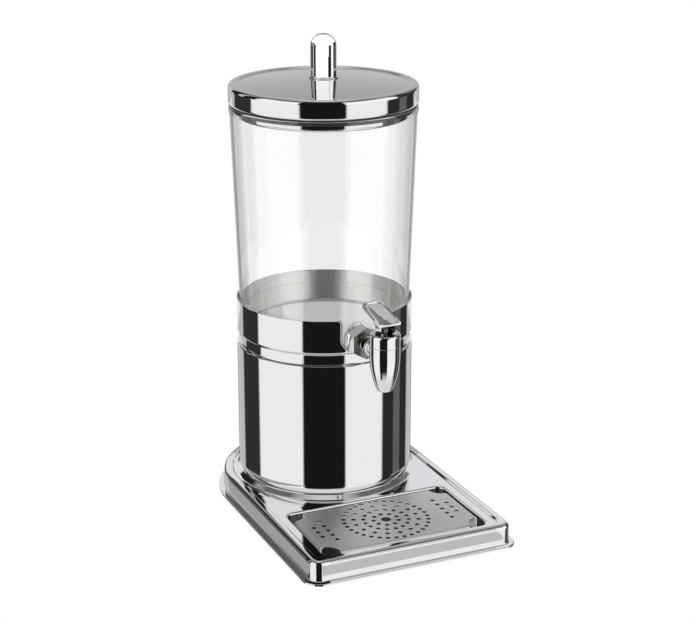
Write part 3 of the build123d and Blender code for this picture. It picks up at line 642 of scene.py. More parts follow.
def makeContainer():
    size = container
    rimRadius = spanOf("container", "x")[1]
    upper = rimRadius - size["rimProud"]
    lower = upper - size["taper"]
    bead = containerTop - size["rimHigh"]
    inside = containerFoot + size["floor"]
    piece = turnPiece("clear_container", [
        (0, containerFoot), (lower, containerFoot, size["footRound"]), (upper, bead),
        (rimRadius, bead + size["rimProud"]), (rimRadius, containerTop, size["rimRound"]),
        (upper - size["wall"], containerTop, size["rimRound"]),
        (lower - size["wall"], inside, size["insideRound"]), (0, inside)], axisY, steps=size["wallSteps"])
    long = size["bossOut"] - size["bossIn"]
    boss = turnPiece("boss", [
        (0, 0), (size["bossRadius"], 0), (size["bossRadius"], long, size["bossRound"]), (0, long)],
        0, steps=size["bossSteps"])
    layForward(boss, axisY - size["bossIn"], shankHeight)
    half, low, high = size["trimHalf"], containerFoot + size["bossAboveFoot"], containerFoot + size["trimHigh"]
    trim = outlinePiece("boss_trim", [(-half, low), (half, low), (half, high), (-half, high)], "x",
                        axisY - size["trimFront"], size["trimDeep"])
    combine(boss, trim, "INTERSECT")
    combine(piece, boss, "UNION")
    hole = turnPiece("tap_hole", [
        (0, size["holeIn"]), (size["tapHole"], size["holeIn"]), (size["tapHole"], size["holeOut"]),
        (0, size["holeOut"])], 0, steps=size["holeSteps"])
    combine(piece, layForward(hole, axisY - size["bossIn"], shankHeight), "DIFFERENCE")
    piece.visible_glossy = False  # mirrors see past the clear wall, so the collar's inside stays light
    finishPiece(piece, "container", "container", "clear_plastic", clearPlastic)


makeContainer()
print("container moulded")


# Lid: domed pressing with a rolled lower edge, its plug and sealing ring, and the knob on a washer
lid = {
    "edgeIn": 4.0, "edgeDrop": 5.0, "edgeSteps": 18, "rimTop": 4.9, "rimIn": 7.6, "rimFoot": 9.3,
    "rimRound": 1.0, "roll": 3.0, "flange": 7.0, "sheet": 1.0, "domeRise": 6.3, "domeSteps": 28,
    "turnSteps": 192,
    "plugIn": 7.5, "plugRound": 2.5, "plugSteps": 160, "gasketGap": 0.3, "gasketRound": 0.4, "sealGap": 0.5,
    "knobFoot": 0.5, "knobFlat": 0.01, "knobSteps": 96, "washerRound": 0.35,
}


def makeLid():
    size = lid
    radius = spanOf("lid_shell", "x")[1]
    low, crown = spanOf("lid_shell", "z")
    foot = radius - size["rimFoot"]
    sphere = (foot ** 2 + size["domeRise"] ** 2) / (2 * size["domeRise"])
    edge = radius - size["edgeIn"]
    rim = crown - size["rimTop"]
    turns = [math.pi / 2 * (1 - k / size["edgeSteps"]) for k in range(size["edgeSteps"])]
    dome = [foot * (1 - k / size["domeSteps"]) for k in range(1, size["domeSteps"] + 1)]
    section = [(radius - size["flange"], low), (radius, low, size["roll"])]
    section += [
        (edge + size["edgeIn"] * math.sin(t), rim - size["edgeDrop"] * (1 - math.cos(t))) for t in turns]
    section += [
        (radius - size["rimIn"], rim, size["rimRound"]), (foot, crown - size["domeRise"], size["rimRound"])]
    section += [(r, crown - sphere + math.sqrt(sphere ** 2 - r ** 2)) for r in dome]
    shell = turnPiece("lid_dome", section, axisY, steps=size["turnSteps"], arcStep=6)
    thicken(shell, size["sheet"])
    finishPiece(shell, "lid_shell", "lid", "polished_steel", polishedSteel, angle=25)

    plugLow, plugTop = spanOf("lid_plug", "z")
    plugRadius = radius - size["plugIn"]
    plug = turnPiece("lid_plug_pan", [
        (0, plugLow), (plugRadius, plugLow, size["plugRound"]), (plugRadius, plugTop)],
        axisY, steps=size["plugSteps"])
    thicken(plug, size["sheet"])
    finishPiece(plug, "lid_plug", "lid", "polished_steel", polishedSteel)

    ringLow, ringTop = spanOf("lid_gasket", "z")
    ringOut = spanOf("lid_gasket", "x")[1]
    ringIn = plugRadius + size["gasketGap"]
    sealOut = spanOf("container", "x")[1] - container["rimProud"] - container["wall"] - size["sealGap"]
    turn = size["gasketRound"]
    ring = turnPiece("lid_sealing_ring", [
        (ringIn, ringLow, turn), (sealOut, ringLow, turn), (sealOut, containerTop),
        (ringOut, containerTop, turn), (ringOut, ringTop, turn), (ringIn, ringTop, turn)],
        axisY, steps=size["plugSteps"], closed=True, arcStep=22)
    finishPiece(ring, "lid_gasket", "lid", "black_rubber", darkSilicone)

    washerLow, washerTop = spanOf("knob_washer", "z")
    washerRadius = spanOf("knob_washer", "x")[1]
    washer = turnPiece("knob_washer_disc", [
        (0, washerLow), (washerRadius, washerLow, size["washerRound"]),
        (washerRadius, washerTop, size["washerRound"]), (0, washerTop)], axisY, steps=size["knobSteps"])
    finishPiece(washer, "knob_washer", "lid", "polished_steel", polishedSteel)

    knobLow, knobTop = spanOf("knob", "z")
    knobRadius = spanOf("knob", "x")[1]
    knob = turnPiece("lid_knob", [
        (0, knobLow), (knobRadius, knobLow, size["knobFoot"]),
        (knobRadius, knobTop, knobRadius - size["knobFlat"]), (0, knobTop)],
        axisY, steps=size["knobSteps"], arcStep=4)
    finishPiece(knob, "knob", "lid", "polished_steel", polishedSteel)


makeLid()
print("lid and knob turned")


# Tap: bullet spout with its neck and shank, hexagon nut, washer and bonnet
tap = {
    "outlet": 4.5, "tipWall": 2.7, "tipRound": 1.8, "shoulder": 1.0, "bulletSteps": 24, "roundedSteps": 3,
    "chamber": 9.5, "seatHigh": 16.0, "seam": 0.35, "neck": 7.5, "neckInto": 2.0, "neckSteps": 96,
    "neckBead": 9.6, "beadFront": -69.0, "beadBack": -61.0, "beadSteps": 12,
    "shank": 8.0, "shankChamfer": 0.4, "bore": 4.5,
    "hexFlats": 30.0, "hexLong": 15.0, "hexChamfer": 0.5, "hexChamferRun": 0.8, "hexEdge": 0.35,
    "blankOver": 1.0, "nutCollar": 9.5, "collarInto": 0.5, "collarSteps": 64,
    "washerGap": 0.05, "washerBack": 0.3, "washerFront": 0.4,
    "bonnetRound": 2.5, "stemHole": 2.55, "holeChamfer": 0.4, "springPocket": 6.2, "pocketTop": 6.0,
    "spigot": 8.0, "spigotGap": 0.1,
}


def makeTapBody():
    size = tap
    radius = spanOf("tap_body", "x")[1]
    shankEnd = spanOf("tap_body", "y")[1]
    hexFront = spanOf("tap_hex_nut", "y")[0]
    tip = size["outlet"] + size["tipWall"]
    shoulder = shankHeight + size["shoulder"]
    narrowing = radius - tip
    arc = ((shoulder - tapTip) ** 2 + narrowing ** 2) / (2 * narrowing)
    steps = size["bulletSteps"]
    levels = [tapTip + (shoulder - tapTip) * k / steps for k in range(steps + 1)]
    bullet = [(radius - arc + math.sqrt(arc ** 2 - (shoulder - z) ** 2), z) for z in levels]
    seat = tapTip + size["seatHigh"]
    section = [(size["outlet"], tapTip), bullet[0] + (size["tipRound"],)] + bullet[size["roundedSteps"]:] + [
        (radius, tapSeam - size["seam"]), (radius - size["seam"], tapSeam), (size["chamber"], tapSeam),
        (size["chamber"], seat), (size["outlet"], seat)]
    body = turnPiece("tap_spout", section, tapY, closed=True)
    neckEnd = shankEnd - tapY - size["chamber"] - size["neckInto"]
    nutLine = shankEnd - hexFront
    beadHalf = (size["beadBack"] - size["beadFront"]) / 2
    pipe = [(size["bore"], 0), (size["shank"], 0), (size["shank"], nutLine - size["shankChamfer"]),
            (size["neck"], nutLine)]
    for k in range(size["beadSteps"] + 1):
        turn = math.pi * k / size["beadSteps"]
        pipe.append((size["neck"] + (size["neckBead"] - size["neck"]) * math.sin(turn),
                     shankEnd - size["beadBack"] + beadHalf * (1 - math.cos(turn))))
    pipe += [(size["neck"], neckEnd), (size["bore"], neckEnd)]
    neck = turnPiece("tap_neck", pipe, 0, steps=size["neckSteps"], closed=True)
    combine(body, layForward(neck, shankEnd, shankHeight), "UNION")
    finishPiece(body, "tap_body", "container", "tap_chrome", tapChrome)


def makeTapNut():
    size = tap
    front, back = spanOf("tap_hex_nut", "y")
    thick = size["hexLong"]
    corner = size["hexFlats"] / math.sqrt(3)
    wide = corner + size["blankOver"]
    nut = turnPiece("tap_hexagon_nut", [
        (size["shank"], 0), (wide, 0), (wide, thick - size["hexChamfer"]),
        (corner - size["hexChamferRun"], thick), (size["shank"], thick)],
        0, steps=size["neckSteps"], closed=True)
    layForward(nut, front + thick, shankHeight)
    bpy.ops.object.select_all(action="DESELECT")
    bpy.ops.mesh.primitive_cylinder_add(vertices=6, radius=corner * mm, depth=2 * thick * mm)
    hexagon = setPlace(bpy.context.object, (0, front + thick / 2, shankHeight), tipped)
    combine(nut, hexagon, "INTERSECT")
    reach = back - front - thick + size["collarInto"]
    collar = turnPiece("nut_collar", [
        (size["shank"], 0), (size["nutCollar"], 0), (size["nutCollar"], reach), (size["shank"], reach)],
        0, steps=size["collarSteps"], closed=True)
    combine(nut, layForward(collar, back, shankHeight), "UNION")
    softenEdges(nut, size["hexEdge"], 3, 25)
    finishPiece(nut, "tap_hex_nut", "container", "tap_chrome", tapChrome, nutFaceShade, angle=40)
    # The front face takes the second finish: painted shade
    useSecondFinish(nut, lambda centre, normal: normal.y < -0.95)


def makeTapWasher():
    size = tap
    front, back = spanOf("tap_gasket", "y")
    wide, thin = spanOf("tap_gasket", "x")[1], back - front
    hole = size["shank"] + size["washerGap"]
    washer = turnPiece("tap_washer", [
        (hole, 0), (wide, 0, size["washerBack"]), (wide, thin, size["washerFront"]), (hole, thin)],
        0, steps=size["neckSteps"], closed=True, arcStep=22)
    layForward(washer, back, shankHeight)
    finishPiece(washer, "tap_gasket", "container", "white_rubber", whiteSilicone)


def makeBonnet():
    size = tap
    radius = spanOf("tap_bonnet", "x")[1]
    pocketTop = bonnetTop - size["pocketTop"]
    spigot, spigotFoot = size["chamber"] - size["spigotGap"], tapSeam - size["spigot"]
    piece = turnPiece("tap_bonnet_cap", [
        (size["stemHole"], pocketTop), (size["springPocket"], pocketTop), (size["springPocket"], spigotFoot),
        (spigot, spigotFoot), (spigot, tapSeam),
        (radius - size["seam"], tapSeam), (radius, tapSeam + size["seam"]),
        (radius, bonnetTop, size["bonnetRound"]), (size["stemHole"] + size["holeChamfer"], bonnetTop),
        (size["stemHole"], bonnetTop - size["holeChamfer"])], tapY, closed=True)
    finishPiece(piece, "tap_bonnet", "container", "tap_chrome", tapChrome)


makeTapBody()
makeTapNut()
makeTapWasher()
makeBonnet()
print("tap turned")


# Lever: paddle with raised borders and a channel that opens to the front, on two cheeks over the stem
lever = {
    "pinAboveBonnet": 5.6, "swing": 30.0, "lift": 2.2, "camRest": 5.5, "heelSteps": 8, "toeRound": 0.8,
    "cheekSpan": 15.0, "cheekFront": 7.1, "slot": 11.0, "slotRise": 5.9, "slotDrop": 3.0, "slotRound": 3.3,
    "slotFront": 30.0, "rearWall": 1.3, "paddleWidth": 23.5, "paddleLength": 46.5, "paddleThick": 3.2,
    "paddleSeat": 1.92, "slope": 12.0, "front": 12.0, "frontRise": 7.9, "rearCorner": 4.0, "cornerSteps": 6,
    "rearArc": 3.5, "border": 2.3, "step": 0.6, "stepDrop": 0.7, "valley": -2.5, "valleyDrop": 2.3,
    "valleyRear": 1.2, "wedge": 19.0, "mouthLeft": -4.5, "mouthRight": 3.5, "mouthDrop": 1.5, "edge": 0.3,
}


def makeLever():
    size = lever
    pin = bonnetTop + size["pinAboveBonnet"]
    swing, slope = math.radians(size["swing"]), math.radians(size["slope"])
    ratio = size["lift"] / swing

    def heel(angle):  # the heel that lifts the stem evenly as the lever turns
        reach = size["camRest"] + ratio * angle
        return (reach * math.sin(angle) + ratio * math.cos(angle),
                ratio * math.sin(angle) - reach * math.cos(angle))

    heels = [heel(swing * k / size["heelSteps"]) for k in range(size["heelSteps"] + 1)]
    rear = heels[-1][0]
    under = size["frontRise"] - size["paddleSeat"]
    frontTop = under + (size["front"] - size["cheekFront"]) * math.tan(slope)
    rearTop = under + (size["front"] + rear) * math.tan(slope)
    side = [(-size["cheekFront"], frontTop), (-size["cheekFront"], -size["camRest"], size["toeRound"])]
    side += heels + [(rear, rearTop)]
    side = [(p[0], pin + p[1]) + tuple(p[2:]) for p in side]
    piece = outlinePiece("tap_lever", side, "y", tapY, size["cheekSpan"])
    half, turn = size["slot"] / 2, size["slotRound"]
    low, high = pin - size["camRest"] - size["slotDrop"], pin + size["slotRise"]
    slot = outlinePiece("lever_slot", [(-half, low), (half, low), (half, high, turn), (-half, high, turn)], "x",
                        tapY - size["slotFront"], size["slotFront"] + rear - size["rearWall"])
    combine(piece, slot, "DIFFERENCE")
    paddle = makePaddle(size)
    setPlace(paddle, (0, tapY - size["front"], pin + size["frontRise"]), (slope, 0, 0))
    combine(piece, paddle, "UNION")
    softenEdges(piece, size["edge"], 3, 35)
    finishPiece(piece, "lever", "lever", "tap_chrome", tapChrome, angle=40)


def makePaddle(size):  # lies flat with its front edge at the origin, top face at height zero
    wide, long = size["paddleWidth"] / 2, size["paddleLength"]
    rim = wide - size["border"]
    foot = rim - size["step"]
    columns = [-wide, -rim, -foot, size["mouthLeft"], size["valley"], size["mouthRight"], foot, rim, wide]
    rows = [0, size["wedge"], long - size["border"] - size["step"], long - size["border"], long]
    bpy.ops.object.select_all(action="DESELECT")
    bpy.ops.mesh.primitive_grid_add(x_subdivisions=len(columns) - 1, y_subdivisions=len(rows) - 1, size=mm)
    piece = bpy.context.object
    piece.name = "lever_paddle"
    bpy.ops.object.mode_set(mode="EDIT")
    for k, place in reversed(list(enumerate(columns))):  # the grid is 1 mm wide until its lines are moved
        start = k / (len(columns) - 1) - 0.5
        pickVerts(piece, lambda x, y, z: abs(x - start) < closeBy)
        bpy.ops.transform.translate(value=((place - start) * mm, 0, 0))
    for k, place in reversed(list(enumerate(rows))):
        start = k / (len(rows) - 1) - 0.5
        pickVerts(piece, lambda x, y, z: abs(y - start) < closeBy)
        bpy.ops.transform.translate(value=(0, (place - start) * mm, 0))

    def troughDepth(x, low):  # from the border's foot down to the valley
        side = -foot if x < size["valley"] else foot
        return size["stepDrop"] + (low - size["stepDrop"]) * (side - x) / (side - size["valley"])

    for y, low in zip(rows, (size["valleyDrop"], size["valleyDrop"], size["valleyRear"])):
        for x in columns[2:-2]:
            inMouth = y == 0 and size["mouthLeft"] <= x <= size["mouthRight"]
            drop = size["mouthDrop"] if inMouth else troughDepth(x, low)
            pickVerts(piece, lambda vx, vy, vz: abs(vy - y) < closeBy and abs(vx - x) < closeBy)
            bpy.ops.transform.translate(value=(0, 0, -drop * mm))
    for mouth in (size["mouthLeft"], size["mouthRight"]):
        ends = ((size["valley"], size["wedge"]), (mouth, 0))
        pickVerts(piece, lambda x, y, z: any(abs(x - a) < closeBy and abs(y - b) < closeBy for a, b in ends))
        bpy.ops.mesh.vert_connect()
    for x in columns:
        pickVerts(piece, lambda vx, vy, vz: vy > size["wedge"] + closeBy and abs(vx - x) < closeBy)
        bpy.ops.transform.translate(value=(0, -size["rearArc"] * (x / wide) ** 2 * mm, 0))
    bpy.ops.mesh.select_all(action="SELECT")
    extrudeBy((0, 0, -2 * size["paddleThick"] * mm))
    bpy.ops.transform.resize(value=(1, 1, 0), center_override=(0, 0, -size["paddleThick"] * mm))
    pickVerts(piece, lambda x, y, z: abs(x) > wide - closeBy and y > long - size["rearArc"] - closeBy)
    bpy.ops.mesh.bevel(offset=size["rearCorner"] * mm, segments=size["cornerSteps"], profile=0.5,
                       affect="EDGES")
    sealMesh()
    return piece


makeLever()
print("lever shaped")


# Feet: rubber pillars under the plate, modelled once for each height and copied
feet = {"taper": 1.2, "edge": 0.8, "steps": 48}


def makeFeet():
    size = feet
    first, places = {}, []  # the first foot of each height, and every foot with its place
    for node in ("foot_front_left", "foot_front_right", "foot_rear_left", "foot_rear_right"):
        (left, right), (front, back) = spanOf(node, "x"), spanOf(node, "y")
        radius, tall = (right - left) / 2, spanOf(node, "z")[1]
        height = round(tall, 1)
        if height in first:
            selectOnly(first[height])
            bpy.ops.object.duplicate()
            foot = bpy.context.object
        else:
            foot = first[height] = turnPiece("foot", [
                (0, 0), (radius - size["taper"], 0, size["edge"]), (radius, tall, size["edge"]), (0, tall)],
                0, steps=size["steps"])
        foot.name = node + "_rubber"
        foot.visible_glossy = False  # out of the pedestal's mirror, with the plate
        finishPiece(foot, node, "base", "black_rubber", blackRubber)
        places.append((foot, ((left + right) / 2, (front + back) / 2, 0)))
    for foot, place in places:
        setPlace(foot, place)


makeFeet()
print("feet moulded")


# Spring: wire coiled on the stem's collar; its lower end rises with the stem, its upper end stays in the bonnet
spring = {"wire": 1.0, "wireSides": 12, "turns": 5, "turnSteps": 32, "seat": 0.05}


def makeSpring():
    size = spring
    (left, right), (low, high) = spanOf("stem_spring", "x"), spanOf("stem_spring", "z")
    thick = size["wire"] / 2
    coil = (right - left) / 2 - thick
    bottom, rise = low + size["seat"] + thick, high - low - 2 * size["seat"] - size["wire"]
    ring = [math.tau * k / size["wireSides"] for k in range(size["wireSides"] + 1)]
    piece = drawChain("tap_spring", [
        (coil + thick * math.cos(t), 0, bottom + thick * math.sin(t)) for t in ring])
    bpy.ops.mesh.remove_doubles(threshold=weld)
    bpy.ops.object.mode_set(mode="OBJECT")
    applyModifier(piece, "SCREW", angle=math.tau, iterations=size["turns"], steps=size["turnSteps"],
                  render_steps=size["turnSteps"], screw_offset=rise / size["turns"] * mm)
    bpy.ops.object.mode_set(mode="EDIT")
    bpy.ops.mesh.select_all(action="SELECT")
    bpy.ops.mesh.fill_holes(sides=0)
    sealMesh()
    setPlace(piece, (0, tapY, 0))
    finishPiece(piece, "stem_spring", "stem", "fastener_steel", turnedSteel)
    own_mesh(piece)


makeSpring()
print("spring wound")


# Small hardware keeps its CAD shape and takes a real finish
hardware = {
    turnedSteel: ["pedestal_screws", "pedestal_nuts", "foot_studs", "stem", "lever_pin", "knob_screw"],
    whiteSilicone: ["seat_cup"], greySilicone: ["tap_inner_gasket"], whiteNylon: ["tap_lock_nut"],
    blackRubber: ["stem_seal"],
}
for finish, nodes in hardware.items():
    for node in nodes:
        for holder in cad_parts[node].material_slots:
            holder.material = finish
for node in ("foot_studs", "pedestal_screws", "pedestal_nuts"):
    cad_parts[node].visible_glossy = False
print("hardware finished")


# Stage: white floor, a studio of light and dark panels all round, and the camera
studio = {
    "cameraHeading": -114.14,  # direction from the object to the camera, degrees from +x towards +y
    "strength": 1.18,
    # Panels as (from, to, colour) in degrees right of the camera, at five heights
    "below": [(-180, -125, "3c3c3c"), (-95, 95, "dcdcdc"), (125, 180, "3c3c3c")],
    "low": [(-180, -168, "404040"), (-164, -136, "bcbcbe"), (-132, -97, "303030"), (-94, -29, "f5f5f5"),
            (-27, 27, "181818"), (29, 81, "f5f5f5"), (84, 103, "2a2a2a"), (105, 118, "606060"),
            (120, 137, "2c2c2c"), (141, 164, "bcbcbe"), (168, 180, "404040")],
    "middle": [(-180, -160, "b8b8b8"), (-156, -144, "c8c8c8"), (-140, -122, "1e1e1e"), (-118, -112, "d0d0d0"),
               (-108, -90, "1a1a1a"), (-84, -31, "ffffff"), (-29, 25, "161616"), (28, 97, "ffffff"),
               (101, 145, "2e2e2e"), (160, 180, "b8b8b8")],
    "upper": [(-180, -150, "a2a2a2"), (-140, -122, "1e1e1e"), (-118, -112, "b0b0b0"), (-108, -90, "1a1a1a"),
              (-84, -31, "ffffff"), (-29, 25, "161616"), (28, 97, "ffffff"), (105, 120, "303030"),
              (145, 180, "a2a2a2")],
    "high": [(-180, -140, "a8a8a8"), (-110, -70, "6a6a6a"), (-50, 50, "303030"), (70, 110, "6a6a6a"),
             (140, 180, "a8a8a8")],
    "top": "d0d0d0",
    # Each height fades into the next over these sines of elevation
    "fades": {"below": (-0.60, -0.76), "middle": (-0.06, 0.0), "upper": (0.1, 0.5), "high": (0.55, 0.78),
              "top": (0.9, 0.98)},
}


def makeWorld():
    world = bpy.data.worlds.new("studio_panels")
    bpy.context.scene.world = world
    world.use_nodes = True
    tree = world.node_tree
    direction = addNode(tree, "ShaderNodeTexCoord").outputs["Generated"]
    turned = addNode(tree, "ShaderNodeMapping", {
        "Vector": direction, "Rotation": (0, 0, -math.radians(studio["cameraHeading"]))}, vector_type="VECTOR")
    parts = addNode(tree, "ShaderNodeSeparateXYZ", {"Vector": turned.outputs["Vector"]})
    heading = addNode(tree, "ShaderNodeMath", {0: parts.outputs["Y"], 1: parts.outputs["X"]},
                      operation="ARCTAN2")
    share = addNode(tree, "ShaderNodeMath", {0: heading.outputs["Value"], 1: 1 / math.tau, 2: 0.5},
                    operation="MULTIPLY_ADD")
    shades = {"top": hexColour(studio["top"])}
    for level in ("below", "low", "middle", "upper", "high"):
        ramp = addNode(tree, "ShaderNodeValToRGB", {"Fac": share.outputs["Value"]})
        stops = ramp.color_ramp.elements
        ends = [(angle, colour) for start, end, colour in studio[level] for angle in (start, end)]
        for k, (angle, colour) in enumerate(ends):
            stop = stops[k] if k < 2 else stops.new(1.0)  # a new ramp has two stops
            stop.position = 0.5 + angle / 360
            stop.color = hexColour(colour)
        shades[level] = ramp.outputs["Color"]
    shade = shades["low"]
    for level, (start, end) in studio["fades"].items():
        fade = addNode(tree, "ShaderNodeMapRange", {
            "Value": parts.outputs["Z"], "From Min": start, "From Max": end})
        mix = addNode(tree, "ShaderNodeMix", {"Factor": fade.outputs["Result"], "A": shade, "B": shades[level]},
                      data_type="RGBA")
        shade = mix.outputs["Result"]
    tree.links.new(shade, tree.nodes["Background"].inputs["Color"])
    tree.nodes["Background"].inputs["Strength"].default_value = studio["strength"]


def glowFinish(name, colour, strength, *covers):  # light of its own; where a cover is 0 the sheet is clear
    material = bpy.data.materials.new(name)
    material.use_nodes = True
    tree = material.node_tree
    tree.nodes.clear()
    surface = addNode(tree, "ShaderNodeEmission", {"Color": hexColour(colour), "Strength": strength}).outputs[0]
    for kind, socket, operation, limit in covers:
        source = addNode(tree, kind).outputs[socket]
        shown = addNode(tree, "ShaderNodeMath", {0: source, 1: limit}, operation=operation)
        clear = addNode(tree, "ShaderNodeBsdfTransparent")
        mix = addNode(tree, "ShaderNodeMixShader", {0: shown.outputs[0], 1: clear.outputs[0], 2: surface})
        surface = mix.outputs[0]
    addNode(tree, "ShaderNodeOutputMaterial", {"Surface": surface})
    return material


def rayLength(operation, length):  # a cover by the length, in millimetres, of the ray that meets the sheet
    return "ShaderNodeLightPath", "Ray Length", operation, length * mm


fromInside = ("ShaderNodeNewGeometry", "Backfacing", "GREATER_THAN", 0.5)
firstBounce = ("ShaderNodeLightPath", "Ray Depth", "LESS_THAN", 1.5)


def addSheet(wide, tall, place, rotation=(0, 0, 0)):  # flat sheet, in millimetres
    bpy.ops.mesh.primitive_plane_add(size=mm, rotation=rotation, location=Vector(place) * mm)
    sheet = bpy.context.object
    sheet.scale = (wide, tall, 1)
    return sheet


def standSheet(sheet, name, finish, seenBy=("glossy",)):  # a stage sheet is seen only by the kinds of ray named
    sheet.name = name
    sheet.data.materials.clear()
    sheet.data.materials.append(finish)
    for kind in ("camera", "diffuse", "glossy", "transmission", "volume_scatter", "shadow"):
        setattr(sheet, "visible_" + kind, kind in seenBy)


# Flat sheets of the stage
cards = {
    "floorSize": 60000.0,  # each half of the floor
    "backCard": {"away": 430.0, "wide": 900.0, "low": 30.0, "high": 330.0, "nearest": 440.0,
                 "colour": "f4f4f8"},
    # Grey sheets on the floor round the base, seen only in mirrors near it: painted shade of the floor by the
    # skirt
    "skirtFloorShade": {"margin": 65.0, "height": 0.4, "frontNear": 11.0, "frontFar": 43.0, "frontRight": 3.5,
                   "cornerLeft": 20.5, "cornerFront": 30.0, "cornerRight": 14.0, "reach": 90.0,
                   "front": "d2d2d4", "side": "acacae"},
    "lipShade": {"inset": 6.3, "front": 25.0, "bendSteps": 24, "heights": (1.0, 5.0, 24.0), "reach": 30.0,
                 "colours": ("181818", "606060"), "frontColours": ("808080", "e4e4e6")},
    "cheekShade": {"gap": 1.5, "wide": 22.0, "low": 225.0, "high": 237.0, "reach": 9.0, "colour": "1c1c1c"},
}

# Panels seen only in mirrors, parts of spheres round a place: the lengths of ray that see them, then
# each panel as (name, from, to, lowest, highest, colour, strength), in degrees right of the camera
patchSteps = {"upwards": 20, "degrees": 3, "fewest": 4}
knobPlace = {"radius": 20.0, "middle": (0, axisY, 487.7), "rays": (0.0, 19.0), "tube": True}
paddleMiddle = (0, tapY + 11.0, 243.0)
panelGroups = [
    {**knobPlace, "panels": [
        ("knob_shade", -105, 105, 20, 90, "ffffff", 1.3),
        ("knob_shade_front_left", -46, 29, -57.4, 20, "ffffff", 1.4),
        ("knob_shade_front_right", 49, 66, -57.4, 20, "ffffff", 1.4),
        ("knob_shade_front_low", 29, 33, -26, 20, "ffffff", 1.4),
        ("knob_shade_front_high", 33, 49, 12, 20, "ffffff", 1.4),
        ("knob_shade_left", -61, -46, -57.4, 14, "1c1c1c", 1.0),
        ("knob_shade_left_edge", -69, -61, -57.4, 14, "e0e0e0", 1.0)]},
    {**knobPlace, "firstOnly": True, "panels": [
        ("knob_shade_gap", 29, 49, -57.4, -26, "1c1c1c", 1.0),
        ("knob_shade_gap_top", 33, 49, -26, 12, "1c1c1c", 1.0)]},
    {"radius": 87.0, "middle": (0, axisY, 183.5), "rays": (0.0, 1000.0), "panels": [
        ("collar_glow_left", -106, -36, 0, 50, "ffffff", 1.55),
        ("collar_glow_flag", -36, 33, 0, 50, "8c8c8c", 1.0),
        ("collar_glow_right", 33, 100, 0, 50, "ffffff", 1.55),
        ("collar_glow_right_end", 100, 128, 0, 50, "ffffff", 1.0),
        ("collar_glow_back_left", -180, -163, 0, 50, "ccccca", 1.0),
        ("collar_glow_rear_left", -163, -146, 0, 50, "e4e4e2", 1.0),
        ("collar_glow_far_left", -146, -132, 0, 50, "c2c2c0", 1.0),
        ("collar_glow_back_right", 168, 180, 0, 50, "ccccca", 1.0),
        ("collar_glow_rear_right", 132, 168, 0, 50, "e6e6e4", 1.0)]},
    {"radius": 150.0, "middle": paddleMiddle, "rays": (120.0, 175.0), "firstOnly": True, "panels": [
        ("lever_shade_left", 148, 170.5, 10, 37, "868686", 1.0),
        ("lever_shade_border_right", 164, 172, 37, 46, "7c7c7c", 1.0),
        ("lever_shade_mouth", 172, 177.3, 28, 39.3, "e6e6e6", 1.0),
        ("lever_shade_rear", 172, 177.3, 39.3, 64, "cccccc", 1.0),
        ("lever_shade_border_left", 177.3, 180, 30, 46, "c4c4c4", 1.0),
        ("lever_shade_high", 177.3, 180, 46, 64, "cccccc", 1.0),
        ("lever_shade_right", -180, -158, 30, 64, "cccccc", 1.0)]},
    {"radius": 40.0, "middle": paddleMiddle, "rays": (12.0, 40.0), "panels": [
        ("lever_side_shade", -162, -100, -40, 46, "8c8c8c", 1.0)]},
    {"radius": 60.0, "middle": (0, tapY, 200.0), "rays": (25.0, 75.0), "panels": [
        ("tap_shade_left", -36, -22, -53, 8, "181818", 1.0),
        ("tap_shade_right", 15, 25, -58, 8, "f5f5f5", 1.18)]},
]


def makePatch(name, group, left, right, low, high):  # part of a sphere, or of a tube below a dome's middle
    radius = group["radius"]
    x, y, z = group["middle"]
    first = math.radians(right + studio["cameraHeading"])  # the spin turns clockwise from here
    path = []
    for k in range(patchSteps["upwards"] + 1):
        rise = math.radians(low + (high - low) * k / patchSteps["upwards"])
        reach, height = radius * math.cos(rise), radius * math.sin(rise)
        if rise < 0 and group.get("tube"):
            reach, height = radius, radius * math.tan(rise)
        path.append((x + reach * math.cos(first), y + reach * math.sin(first), z + height))
    patch = drawChain(name, path)
    steps = max(patchSteps["fewest"], round((right - left) / patchSteps["degrees"]))
    bpy.ops.mesh.spin(steps=steps, angle=math.radians(right - left), center=Vector(group["middle"]) * mm,
                      axis=(0, 0, 1))
    bpy.ops.object.mode_set(mode="OBJECT")
    return patch


def makeFloor():  # two halves and a pale card behind the object
    heading = math.radians(studio["cameraHeading"])
    toCamera = Vector((math.cos(heading), math.sin(heading), 0))
    facing = heading - math.pi / 2
    middle = Vector((0, axisY, 0))
    wide = cards["floorSize"]
    white = glowFinish("white_floor", "ffffff", 1.0)
    for side, name in ((1, "studio_floor_front"), (-1, "studio_floor_back")):
        half = addSheet(wide, wide, middle + toCamera * side * wide / 2, (0, 0, facing))
        standSheet(half, name, white, ("camera", "transmission"))
    card = cards["backCard"]
    raised = Vector((0, 0, (card["low"] + card["high"]) / 2))
    back = addSheet(card["wide"], card["high"] - card["low"], middle + raised - toCamera * card["away"],
                    (math.pi / 2, 0, facing))
    standSheet(back, "studio_back_card", glowFinish(
        "pale_card", card["colour"], 1.0, rayLength("GREATER_THAN", card["nearest"])))


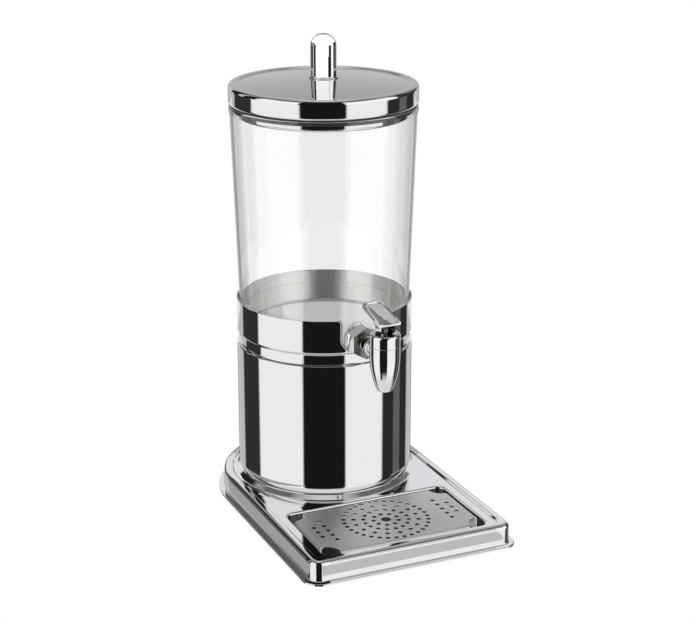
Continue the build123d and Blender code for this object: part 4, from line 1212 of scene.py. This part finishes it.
def makeShades():
    half = spanOf("base_plate", "x")[1]
    front, rear = spanOf("base_plate", "y")
    strip = cards["skirtFloorShade"]
    near = rayLength("LESS_THAN", strip["reach"])
    edge = half + strip["margin"]
    # Painted shade: the skirt and lip mirror these grey floor sheets as the floor's shade near the base
    for name, colour, left, right, start, end in (
            ("skirt_floor_shade_front", strip["front"], strip["cornerLeft"] - half, half - strip["frontRight"],
             front - strip["frontFar"], front - strip["frontNear"]),
            ("skirt_floor_shade_left", strip["side"], -edge, -half, front + strip["cornerFront"], rear),
            ("skirt_floor_shade_right", strip["side"], half, edge, front + strip["cornerRight"], rear)):
        sheet = addSheet(right - left, end - start, ((left + right) / 2, (start + end) / 2, strip["height"]))
        standSheet(sheet, name, glowFinish(name, colour, 1.0, near))

    # Painted reflections: sheets inside the skirt that the lip mirrors, dark below and grey above at the sides,
    # grey below and pale above at the front
    lip = cards["lipShade"]
    radius = half - lip["inset"]
    bends = [math.pi - math.pi / 2 * k / lip["bendSteps"] for k in range(lip["bendSteps"] + 1)]
    near = rayLength("LESS_THAN", lip["reach"])
    side = [(-radius, front + lip["front"])]
    side += [(radius * math.cos(t), axisY + radius * math.sin(t)) for t in bends]
    across = [(lip["front"] - half, front + lip["inset"]), (half - lip["front"], front + lip["inset"])]
    for place, path, colours in (
            ("lip_shade", side, lip["colours"]), ("lip_front_painted_reflection", across, lip["frontColours"])):
        for level, low, high, colour in zip(("_low", "_high"), lip["heights"], lip["heights"][1:], colours):
            sheet = drawChain(place + level, [(x, y, low) for x, y in path])
            extrudeBy((0, 0, (high - low) * mm))
            bpy.ops.object.mode_set(mode="OBJECT")
            standSheet(sheet, place + level, glowFinish(place + level, colour, 1.0, near))

    cheek = cards["cheekShade"]
    sheet = addSheet(cheek["wide"], cheek["high"] - cheek["low"], (
        0, tapY - lever["cheekFront"] - cheek["gap"], (cheek["low"] + cheek["high"]) / 2), tipped)
    near = rayLength("LESS_THAN", cheek["reach"])
    standSheet(sheet, "cheek_shade", glowFinish("cheek_shade", cheek["colour"], 1.0, near))

    for group in panelGroups:
        shortest, longest = group["rays"]
        covers = [fromInside, rayLength("GREATER_THAN", shortest), rayLength("LESS_THAN", longest)]
        if group.get("firstOnly"):
            covers.append(firstBounce)
        for name, left, right, low, high, colour, strength in group["panels"]:
            patch = makePatch(name, group, left, right, low, high)
            standSheet(patch, name, glowFinish(name, colour, strength, *covers))


photoView = {"azimuth": -24.14, "elevation": 18.2, "lens": 91.28, "sensor": 36.0,
             "place": (-714.5, -1595.1, 793.2)}


def makeCamera():
    view = photoView
    camera = bpy.data.objects.new("photo_camera", bpy.data.cameras.new("photo_camera"))
    bpy.context.scene.collection.objects.link(camera)
    camera.data.lens = view["lens"]
    camera.data.sensor_width = view["sensor"]
    camera.data.sensor_fit = "HORIZONTAL"
    camera.location = Vector(view["place"]) * mm
    camera.rotation_euler = (math.radians(90 - view["elevation"]), 0, math.radians(view["azimuth"]))
    bpy.context.scene.camera = camera


makeWorld()
makeFloor()
makeShades()
makeCamera()
bpy.context.scene.view_settings.view_transform = "Standard"
print("stage set")
